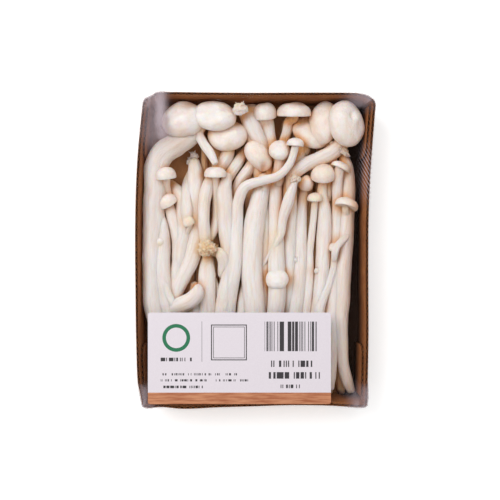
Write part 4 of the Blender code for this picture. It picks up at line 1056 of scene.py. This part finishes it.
def shade_attributes(mesh, top):
    """Stores each vertex's painted shade and how stained it is. The painted shade grows with how far the
    vertex lies under the top of the pile, is weaker high up, and is raised in the painted shade patches.
    """
    places = np.empty(len(mesh.vertices) * 3)
    mesh.vertices.foreach_get("co", places)
    places = places.reshape(-1, 3) / MM
    cells = ((places[:, :2] + MAP_REACH) / MAP_CELL).astype(int)
    depth = top[cells[:, 0], cells[:, 1]] - places[:, 2]
    # painted shade: the further a vertex lies under the top of the pile, the darker and browner its flesh,
    # and less so high up
    pile_shade = np.clip((depth - PILE_SHADE_FROM) / (PILE_SHADE_FULL - PILE_SHADE_FROM), 0, 1)
    pile_shade *= np.clip((TRAY_HEIGHT - places[:, 2]) / 9, 0.3, 1)
    plan = places[:, :2] / SPREAD
    # the painted shade patches add to the same painted shade
    for x, y, reach_x, reach_y, strength in SHADED:
        pile_shade = np.maximum(pile_shade, strength * patch(plan, x, y, reach_x, reach_y))
    keep(mesh, "pile_shade", pile_shade)
    for name, stains in STAINS.items():
        spots = [strength * spot(plan, x, y, reach / SPREAD) for x, y, reach, strength in stains]
        keep(mesh, name, np.max(spots, axis=0) * (depth < STAIN_DEPTH))


def surface_material(name):
    """A new material, its nodes and its Principled shader."""
    made = bpy.data.materials.new(name)
    made.use_nodes = True
    return made, Nodes(made.node_tree), made.node_tree.nodes["Principled BSDF"]


def flesh_material(name, light, dull, pile_shade, pile_shade_share):
    """Moist mushroom flesh: pale, translucent, with lengthwise fibres, and a painted warm brown shade low in
    the pile.
    """
    made, nodes, shader = surface_material(name)
    grain = nodes.attribute("grain", "Vector")
    place = nodes.place()
    fibres = nodes.noise(grain, 2600.0, 4.0, 0.6)
    streaks = nodes.noise(grain, 700.0, 4.0, 0.6)
    patches = nodes.noise(place, 60.0)
    speckle = nodes.span(nodes.noise(place, 900.0, 4.0, 0.65), 0.35, 0.62)
    fleck = nodes.span(nodes.noise(place, 700.0, 3.0, 0.6), 0.46, 0.6)
    share = nodes.plus(nodes.times(nodes.span(streaks, 0.42, 0.68), 0.65),
                       nodes.times(nodes.span(patches, 0.42, 0.7), 0.35))
    colour = nodes.tint(share, light, dull)
    # painted shade low in the pile
    colour = nodes.tint(nodes.times(nodes.attribute("pile_shade"), pile_shade_share), colour, pile_shade)
    yellow = nodes.times(nodes.attribute("yellow"), nodes.maths("MULTIPLY_ADD", speckle, 0.6, 0.4))
    colour = nodes.tint(yellow, colour, YELLOW_STAIN)
    colour = nodes.tint(nodes.times(nodes.attribute("brown"), fleck), colour, BROWN_STAIN)
    nodes.fill(shader, {
        "Base Color": colour, "Roughness": nodes.maths("MULTIPLY_ADD", streaks, 0.2, 0.36),
        "Specular IOR Level": 0.35, "Sheen Weight": 0.5, "Sheen Roughness": 0.6, "Sheen Tint": DOWN_TINT,
        "Subsurface Weight": 0.5, "Subsurface Radius": (1.0, 0.6, 0.35), "Subsurface Scale": 0.003,
        "Normal": nodes.relief((streaks, 0.0008, 1.0), (fibres, 0.0004, 1.0))})
    return made


def card_material():
    """Brown kraft card: pulp fibres and faint flute lines, paler at its foot, a painted shadow low on its
    right side, and painted shade in the groove of its cut edge.
    """
    made, nodes, shader = surface_material("kraft_card")
    place = nodes.place()
    axes = nodes.add("ShaderNodeSeparateXYZ", {0: place})
    fibres = nodes.noise(nodes.stretched(place, (1.0, 0.16, 1.0)), 1400.0, 4.0, 0.65)
    clouds = nodes.span(nodes.noise(place, 70.0, 4.0, 0.6), 0.42, 0.75)
    low = nodes.span(axes["Z"], 0.008, 0.003)
    # painted shadow: near black low down on the right side, by the right wall
    painted_shadow = nodes.times(nodes.span(axes["Z"], 0.016, 0.004), nodes.span(axes["X"], 0.045, 0.051))
    lines = nodes.maths("SINE", nodes.times(axes["Z"], 2 * math.pi / (FLUTE_LENGTH * MM)))
    colour = nodes.tint(nodes.span(fibres, 0.3, 0.72), CARD_DARK, CARD_LIGHT)
    # painted shade in the groove of the cut edge, near black
    for share, most, shade in ((clouds, 0.5, CARD_CLOUD), (low, 0.6, CARD_FLOOR), (painted_shadow, 0.95, CARD_PAINTED_SHADOW),
                               (nodes.attribute("groove"), 1.0, CARD_GROOVE_SHADE)):
        colour = nodes.tint(nodes.times(share, most), colour, shade)
    nodes.fill(shader, {"Base Color": colour, "Roughness": 0.72, "Specular IOR Level": 0.25,
                        "Normal": nodes.relief((lines, 0.0001, 1.0), (fibres, 0.0003, 0.8))})
    return made


def film_material():
    """Clear stretch film: what lies under it shows, with gloss, and a milky look where it lies in folds,
    mixed with painted reflections and painted light streaks.
    """
    made, nodes, shader = surface_material("clear_wrap")
    clear = nodes.add("ShaderNodeBsdfTransparent", {"Color": FILM_CLEAR_TINT})[0]
    gloss = nodes.add("ShaderNodeBsdfGlossy", {"Color": WHITE, "Roughness": 0.08})[0]
    nodes.fill(shader, {"Base Color": FILM_MILK_AND_GLARE, "Roughness": 0.25})
    glance = nodes.add("ShaderNodeFresnel", {"IOR": 1.38})[0]
    axes = nodes.add("ShaderNodeSeparateXYZ", {0: nodes.place()})
    # painted light streaks: fine slanting lines mixed into the film's milky colour
    slope = nodes.maths("MULTIPLY_ADD", axes["X"], STREAK_SLOPE, axes["Y"])
    streak_light = nodes.maths("SINE", nodes.times(slope, 2 * math.pi / (STREAK_PITCH * MM)))
    streak_light = nodes.times(nodes.span(streak_light, 0.45, 0.95), nodes.attribute("painted_streaks"))
    milky_folds_and_glare = nodes.maths("MAXIMUM", nodes.attribute("milky_folds_and_glare"), streak_light)
    sheet = nodes.add("ShaderNodeMixShader", {0: nodes.times(glance, 0.07), 1: clear, 2: gloss})[0]
    mixed = {0: nodes.times(milky_folds_and_glare, 0.6), 1: sheet, 2: shader.outputs[0]}
    sheet = nodes.add("ShaderNodeMixShader", mixed)[0]
    nodes.fill(made.node_tree.nodes["Material Output"], {"Surface": sheet})
    return made


def inside_box(nodes, axes, left, right, low, high):
    """1 inside a rectangle in plan, given in millimetres, and 0 outside it."""
    across = nodes.maths("COMPARE", axes["X"], (left + right) / 2 * MM, (right - left) / 2 * MM)
    along = nodes.maths("COMPARE", axes["Y"], (low + high) / 2 * MM, (high - low) / 2 * MM)
    return nodes.times(across, along)


def strokes(nodes, axes, left, right, low, high, pitch, ink):
    """Upright strokes and gaps that fill a row."""
    cell = nodes.maths("FLOOR", nodes.maths("DIVIDE", axes["X"], pitch * MM))
    draw = nodes.add("ShaderNodeTexWhiteNoise", {"W": nodes.plus(cell, low)}, noise_dimensions="1D")
    inked = nodes.maths("LESS_THAN", draw["Value"], ink)
    return nodes.times(inked, inside_box(nodes, axes, left, right, low, high))


def square_line(nodes, axes, x, y, half, thick):
    """A square outline."""
    outer = inside_box(nodes, axes, x - half, x + half, y - half, y + half)
    half -= thick
    return nodes.maths("SUBTRACT", outer, inside_box(nodes, axes, x - half, x + half, y - half, y + half))


def label_material():
    """White label paper with plain bars, strokes, a square outline, a green ring and a wood grain strip."""
    made, nodes, shader = surface_material("printed_paper")
    place = nodes.place()
    axes = nodes.add("ShaderNodeSeparateXYZ", {0: place})
    pulp = nodes.noise(place, 1800.0, 3.0, 0.6)
    paper = nodes.tint(nodes.span(pulp, 0.3, 0.7), *PAPER)
    rings = nodes.noise(nodes.stretched(place, (0.09, 1.0, 1.0)), 900.0, 5.0, 0.62)
    wood = nodes.tint(nodes.span(rings, 0.34, 0.62), *WOOD)
    foot = LABEL_TOP - LABEL_LENGTH
    right = LABEL_LEFT + LABEL_WIDTH
    strip = inside_box(nodes, axes, LABEL_LEFT - 1, right + 1, foot - 1, foot + WOOD_STRIP)
    marks = [strokes(nodes, axes, *row) for row in PRINTED_ROWS]
    marks += [square_line(nodes, axes, *square) for square in SQUARES]
    ink = marks[0]
    for mark in marks[1:]:
        ink = nodes.maths("MAXIMUM", ink, mark)
    ring_x, ring_y, ring_radius, ring_half = GREEN_RING
    offset = {"X": nodes.plus(axes["X"], -ring_x * MM), "Y": nodes.plus(axes["Y"], -ring_y * MM)}
    across = nodes.add("ShaderNodeCombineXYZ", offset)[0]
    away = nodes.add("ShaderNodeVectorMath", {0: across}, operation="LENGTH")["Value"]
    ring = nodes.maths("COMPARE", away, ring_radius * MM, ring_half * MM)
    colour = nodes.tint(inside_box(nodes, axes, *DIVIDER), paper, DIVIDER_GREY)
    for share, shade in ((ink, INK), (ring, RING_GREEN), (strip, wood)):
        colour = nodes.tint(share, colour, shade)
    nodes.fill(shader, {"Base Color": colour, "Roughness": 0.5, "Normal": nodes.relief((pulp, 0.00002, 1.0))})
    return made


def smooth_outline(points, step):
    """A closed smooth outline through points in plan, at even steps."""
    ring = [np.array(p, float) for p in points]
    curve = smooth_route(ring[-2:] + ring + ring[:3])[2 * 8:-3 * 8]
    lengths = np.r_[0, np.cumsum(np.linalg.norm(np.diff(curve, axis=0), axis=1))]
    at = np.linspace(0, lengths[-1], round(lengths[-1] / step))
    return np.column_stack([np.interp(at, lengths, curve[:, k]) for k in range(2)])[:-1]


def inward_normals(outline):
    """The inward direction at each point of an anticlockwise outline."""
    along = np.roll(outline, -1, 0) - np.roll(outline, 1, 0)
    along /= np.linalg.norm(along, axis=1)[:, None]
    return np.column_stack([-along[:, 1], along[:, 0]])


def card_section(top):
    """The card's section from its outer foot over its cut edge to its inner foot: height and depth."""
    outer = [(CARD * 0.5, 0.0), (top * 0.3, 0.0), (top * 0.6, 0.0), (top - EDGE_DOWN, 0.0),
             (top, EDGE_IN), (top, LINER), (top - FLUTE_DEPTH, LINER)]
    return outer + [(z, CARD - depth) for z, depth in reversed(outer)]


def strip_mesh(name, stations, closed):
    """A card strip: rows of points, one for each station, joined into a closed skin."""
    shape = bmesh.new()
    rows = [[shape.verts.new(Vector(place) * MM) for place in section] for section in stations]
    bands(shape, rows, closed)
    if not closed:
        shape.faces.new(rows[0])
        shape.faces.new(list(reversed(rows[-1])))
    mesh = mesh_from(name, shape)
    # how much painted shade each point gets in the groove of the cut edge
    keep(mesh, "groove", np.tile(GROOVE_SHADE, len(stations)))
    return outward(mesh)


def flute_mesh(points, closed, tree, card):
    """The wavy layer along a cut edge, given its line in the middle of the card."""
    ribbon = swept_mesh(tree, {"Card": card}, points, closed=closed)
    return outward(thickened("flutes", ribbon, FLUTE_PAPER, 0.0))


def walls_and_floor(tree, card):
    """The four walls as one strip with their flutes, and the floor."""
    rim = smooth_outline(RIM, 1.5)
    inwards = inward_normals(rim)
    steps = np.arange(len(rim))
    wobble = 0.12 * np.sin(steps * 0.21) + 0.1 * np.sin(steps * 0.083 + 1.2)
    stations = []
    for place, inward, sway in zip(rim, inwards, wobble):
        section = []
        for z, depth in card_section(TRAY_HEIGHT):
            bulge = sway * math.sin(math.pi * min(z / TRAY_HEIGHT, 1))
            section.append((*(place * wall_share(z) + inward * (depth + bulge)), z))
        stations.append(section)
    rings = []
    top = CARD - FLOOR_SUNK
    for z, inset in ((top, 0.0), (FLOOR_ROUND, 0.0), (0.0, FLOOR_ROUND)):
        rings.append([Vector((*(p * wall_share(0) + n * inset), z)) * MM for p, n in zip(rim, inwards)])
    floor = ring_mesh("floor", rings, (0, 0, top * MM), (0, 0, 0))
    middle = [(*(p + n * CARD / 2), TRAY_HEIGHT - FLUTES_UNDER) for p, n in zip(rim, inwards)]
    return [strip_mesh("walls", stations, True), outward(floor)], [flute_mesh(middle, True, tree, card)]


def corner_tab(side, end, tree, card):
    """One glued tab inside a corner, and its flutes."""
    strip = []
    edge = []
    for share in np.linspace(0, 1, 22):
        y = end * (TAB_ROOT - TAB_LENGTH * share)
        into_corner = max(share - 0.8, 0) / 0.2
        top = TAB_HEIGHT - TAB_CORNER * (1 - math.sqrt(1 - into_corner ** 2))
        section = card_section(top)
        strip.append([(wall_face(y, z, side) + side * (TAB_PRESSED - depth), y, z) for z, depth in section])
        edge.append((wall_face(y, top, side) + side * (TAB_PRESSED - CARD / 2), y, top - FLUTES_UNDER))
    return strip_mesh("tab", strip, False), flute_mesh(edge, False, tree, card)


def build_tray(card, tree):
    """The folded card tray: walls with their liners and flutes at the cut edge, floor and corner tabs."""
    meshes, flutes = walls_and_floor(tree, card)
    for side in (-1, 1):
        for end in (-1, 1):
            tab, wave = corner_tab(side, end, tree, card)
            meshes.append(tab)
            flutes.append(wave)
    tray = joined("card_tray", meshes + flutes)
    tray.data.materials.clear()
    tray.data.materials.append(card)
    return tray


def membrane(mushrooms):
    """The film's height over a grid: stretched from rim to rim, and held up by the pile where it stands
    proud.
    """
    size = int(2 * MAP_REACH / FILM_GRID) + 1
    at = np.arange(size) * FILM_GRID - MAP_REACH
    support = np.full((size, size), TRAY_HEIGHT + FILM_CLEAR)
    balls = np.vstack([mushroom.balls for mushroom in mushrooms])
    for x, y, z, r in balls[balls[:, 2] + balls[:, 3] > TRAY_HEIGHT - 0.5][:, :4]:
        i, j = int((x + MAP_REACH) / FILM_GRID), int((y + MAP_REACH) / FILM_GRID)
        reach = int(r / FILM_GRID) + 2
        cells = slice(i - reach, i + reach + 2), slice(j - reach, j + reach + 2)
        support[cells] = np.maximum(support[cells], z + r + FILM_CLEAR)
    left, right = [np.array([wall_face(y, TRAY_HEIGHT, side) for y in at]) for side in (-1, 1)]
    inside = (at[:, None] < right[None, :]) & (at[:, None] > left[None, :])
    inside &= (at[None, :] < FILM_HEAD) & (at[None, :] > FILM_FOOT)
    height = support.copy()
    for _ in range(FILM_ROUNDS):
        mean = sum(neighbours(height)) / 4
        height = np.where(inside, np.maximum(mean, support), TRAY_HEIGHT + FILM_CLEAR)
    return at, height


def sample(at, height, x, y):
    """A grid's value at places between its points."""
    u = (x - at[0]) / FILM_GRID
    v = (y - at[0]) / FILM_GRID
    i, j = u.astype(int), v.astype(int)
    s, t = u - i, v - j
    low = height[i, j] * (1 - s) + height[i + 1, j] * s
    high = height[i, j + 1] * (1 - s) + height[i + 1, j + 1] * s
    return low * (1 - t) + high * t


def film_plan(outside, rim):
    """The film's points and triangles in plan: an even grid inside, and rows along the rim."""
    inner = []
    for row, y in enumerate(np.arange(-80, 80.1, FILM_GRID)):
        left, right = wall_face(y, TRAY_HEIGHT, -1), wall_face(y, TRAY_HEIGHT, 1)
        for x in np.arange(-60, 60.1, FILM_GRID) + (row % 2) * FILM_GRID / 2:
            if left + FILM_SHOULDER < x < right - FILM_SHOULDER:
                inner.append((x, y))
    places = [Vector(p) for p in (*outside, *rim, *(rim + inward_normals(rim) * FILM_SHOULDER), *inner)]
    count = len(outside)
    ring = [(k, (k + 1) % count) for k in range(count)]
    flat, _, triangles, _, _, _ = delaunay_2d_cdt(places, ring, [list(range(count))], 1, 1e-6)
    return np.array([tuple(p) for p in flat]), triangles


def film_milk_and_glare(xy, z):
    """How milky the film is at its points, with painted reflections laid on. Its folds at the corners are
    raised in z.
    """
    milk_and_glare = np.zeros(len(xy))
    for corner_x, corner_y, reach, folds in FILM_CORNERS:
        # milky folds at the corners: real layers of film, with painted reflection on them
        turn = np.arctan2(xy[:, 1] - corner_y, xy[:, 0] - corner_x)
        fade = spot(xy, corner_x, corner_y, reach)
        milk_and_glare = np.maximum(milk_and_glare, fade * (0.15 + 0.5 * np.sin(turn * folds) ** 2))
        away = np.hypot(xy[:, 0] - corner_x, xy[:, 1] - corner_y)
        z += FOLD_HEIGHT * fade * np.abs(np.sin(turn * folds * 0.5)) * np.minimum(away / 4, 1)
    # painted reflections on the film
    for x, y, reach_x, reach_y, strength in FILM_GLARE:
        ragged = 1 + 0.1 * np.sin(xy[:, 1] * 0.4 + x) + 0.05 * np.sin(xy[:, 1] * 1.3)
        milk_and_glare = np.maximum(milk_and_glare, strength * patch(xy, x, y, reach_x * ragged, reach_y))
    return milk_and_glare


def build_film(mushrooms, finish):
    """Stretch film over the rim and down the walls, drawn into folds at the corners, milky there and with
    painted reflections.
    """
    rim = smooth_outline(RIM, 1.4)
    outside = rim - inward_normals(rim) * FILM_OUT
    xy, triangles = film_plan(outside, rim)
    z = sample(*membrane(mushrooms), xy[:, 0], xy[:, 1])
    milk_and_glare = list(film_milk_and_glare(xy, z))
    # where the painted light streaks lie
    painted_streaks = patch(xy, *FILM_STREAKS)
    on_edge = np.array([min(np.linalg.norm(outside - p, axis=1)) < 0.01 for p in xy])
    z[on_edge] = TRAY_HEIGHT - FILM_EDGE_DROP
    shape = bmesh.new()
    top = [shape.verts.new((x * MM, y * MM, h * MM)) for (x, y), h in zip(xy, z)]
    for triangle in triangles:
        shape.faces.new([top[k] for k in triangle])
    rows = [[top[int(np.argmin(np.linalg.norm(xy - p, axis=1)))] for p in outside]]
    pleat = np.max([spot(outside, x, y, reach) for x, y, reach, _ in FILM_CORNERS], axis=0)
    for low in np.linspace(TRAY_HEIGHT - 3, FILM_HEM, HANGING_ROWS):
        sway = 0.35 * pleat * np.sin(np.arange(len(outside)) * 1.9) * (1 - low / TRAY_HEIGHT)
        hanging = outside * (wall_share(low) * (1 + sway / 60))[:, None] * MM
        rows.append([shape.verts.new((x, y, low * MM)) for x, y in hanging])
        milk_and_glare.extend(0.35 * pleat)
    bands(shape, rows, False)
    shape.normal_update()
    if sum(face.normal.z * face.calc_area() for face in shape.faces) < 0:
        bmesh.ops.reverse_faces(shape, faces=shape.faces)
    mesh = mesh_from("film_wrap", shape)
    keep(mesh, "milky_folds_and_glare", milk_and_glare)
    keep(mesh, "painted_streaks", np.r_[painted_streaks, np.zeros(len(milk_and_glare) - len(painted_streaks))])
    mesh.materials.append(finish)
    return linked("film_wrap", thickened("film_sheet", mesh, FILM_THICK, 1.0))


def build_studio():
    """A white table, soft lamps and a camera that looks straight down, as the photograph does."""
    plane = bpy.data.meshes.new("table")
    corners = [(x * TABLE_REACH, y * TABLE_REACH, 0) for x, y in ((-1, -1), (1, -1), (1, 1), (-1, 1))]
    plane.from_pydata(corners, [], [(0, 1, 2, 3)])
    white, nodes, shader = surface_material("white_table")
    nodes.fill(shader, {"Base Color": TABLE_WHITE, "Emission Color": WHITE, "Emission Strength": TABLE_GLOW,
                        "Roughness": 0.9})
    plane.materials.append(white)
    table = linked("table", plane)
    for name, place, size, power, colour in LAMPS:
        light = bpy.data.lights.new(name, "AREA")
        light.size = size
        light.energy = power
        light.color = colour
        lamp = linked(name, light)
        lamp.location = place
        lamp.rotation_euler = (-Vector(place)).to_track_quat("-Z", "Y").to_euler()
    world = bpy.data.worlds.new("studio")
    world.use_nodes = True
    sky = world.node_tree.nodes["Background"].inputs
    sky["Color"].default_value = WHITE
    sky["Strength"].default_value = SKY_STRENGTH
    bpy.context.scene.world = world
    lens = bpy.data.cameras.new("camera")
    lens.sensor_width = 36.0
    lens.lens = lens.sensor_width * CAMERA_RISE / CAMERA_SPAN
    camera = linked("camera", lens)
    camera.location = (CAMERA_X, CAMERA_Y, TRAY_HEIGHT * MM + CAMERA_RISE)
    bpy.context.scene.camera = camera
    bpy.context.scene.view_settings.view_transform = "Standard"


def main():
    """Builds every piece and hands it to the frame."""
    stems = stem_tree()
    flutes = flute_tree()
    white = flesh_material("pale_flesh", *PALE_FLESH)
    # painted shaded copy of the flesh, for the lower stems
    shaded_tan = flesh_material("shaded_tan_flesh", *SHADED_TAN_FLESH)
    card = card_material()
    wrap = film_material()
    paper = label_material()
    mushrooms = low_layer() + pile()
    placed = np.zeros((0, 5))
    for mushroom in mushrooms:
        placed = np.vstack([placed, settle(mushroom, placed)])
    top = height_map(mushrooms)
    for number, mushroom in enumerate(mushrooms):
        node = CLUMPS[mushroom.clump]
        low = node.startswith("low")
        name = f"lower_stem_{number + 1}" if low else f"mushroom_{number + 1 - LOW_STEMS}"
        made = build_mushroom(name, mushroom, stems, shaded_tan if low else white, number)
        shade_attributes(made.data, top)
        made.data.shade_smooth()
        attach(made, "root")
        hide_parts(node)
    tray = build_tray(card, flutes)
    tray.data.shade_smooth()
    tray.data.set_sharp_from_angle(angle=math.radians(35))
    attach(tray, "root")
    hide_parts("tray")
    film = build_film(mushrooms, wrap)
    film.data.shade_smooth()
    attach(film, "root")
    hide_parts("film")
    label = frame["nodes"]["label"]
    label.data.materials.clear()
    label.data.materials.append(paper)
    build_studio()


main()
bpy.context.view_layer.update()
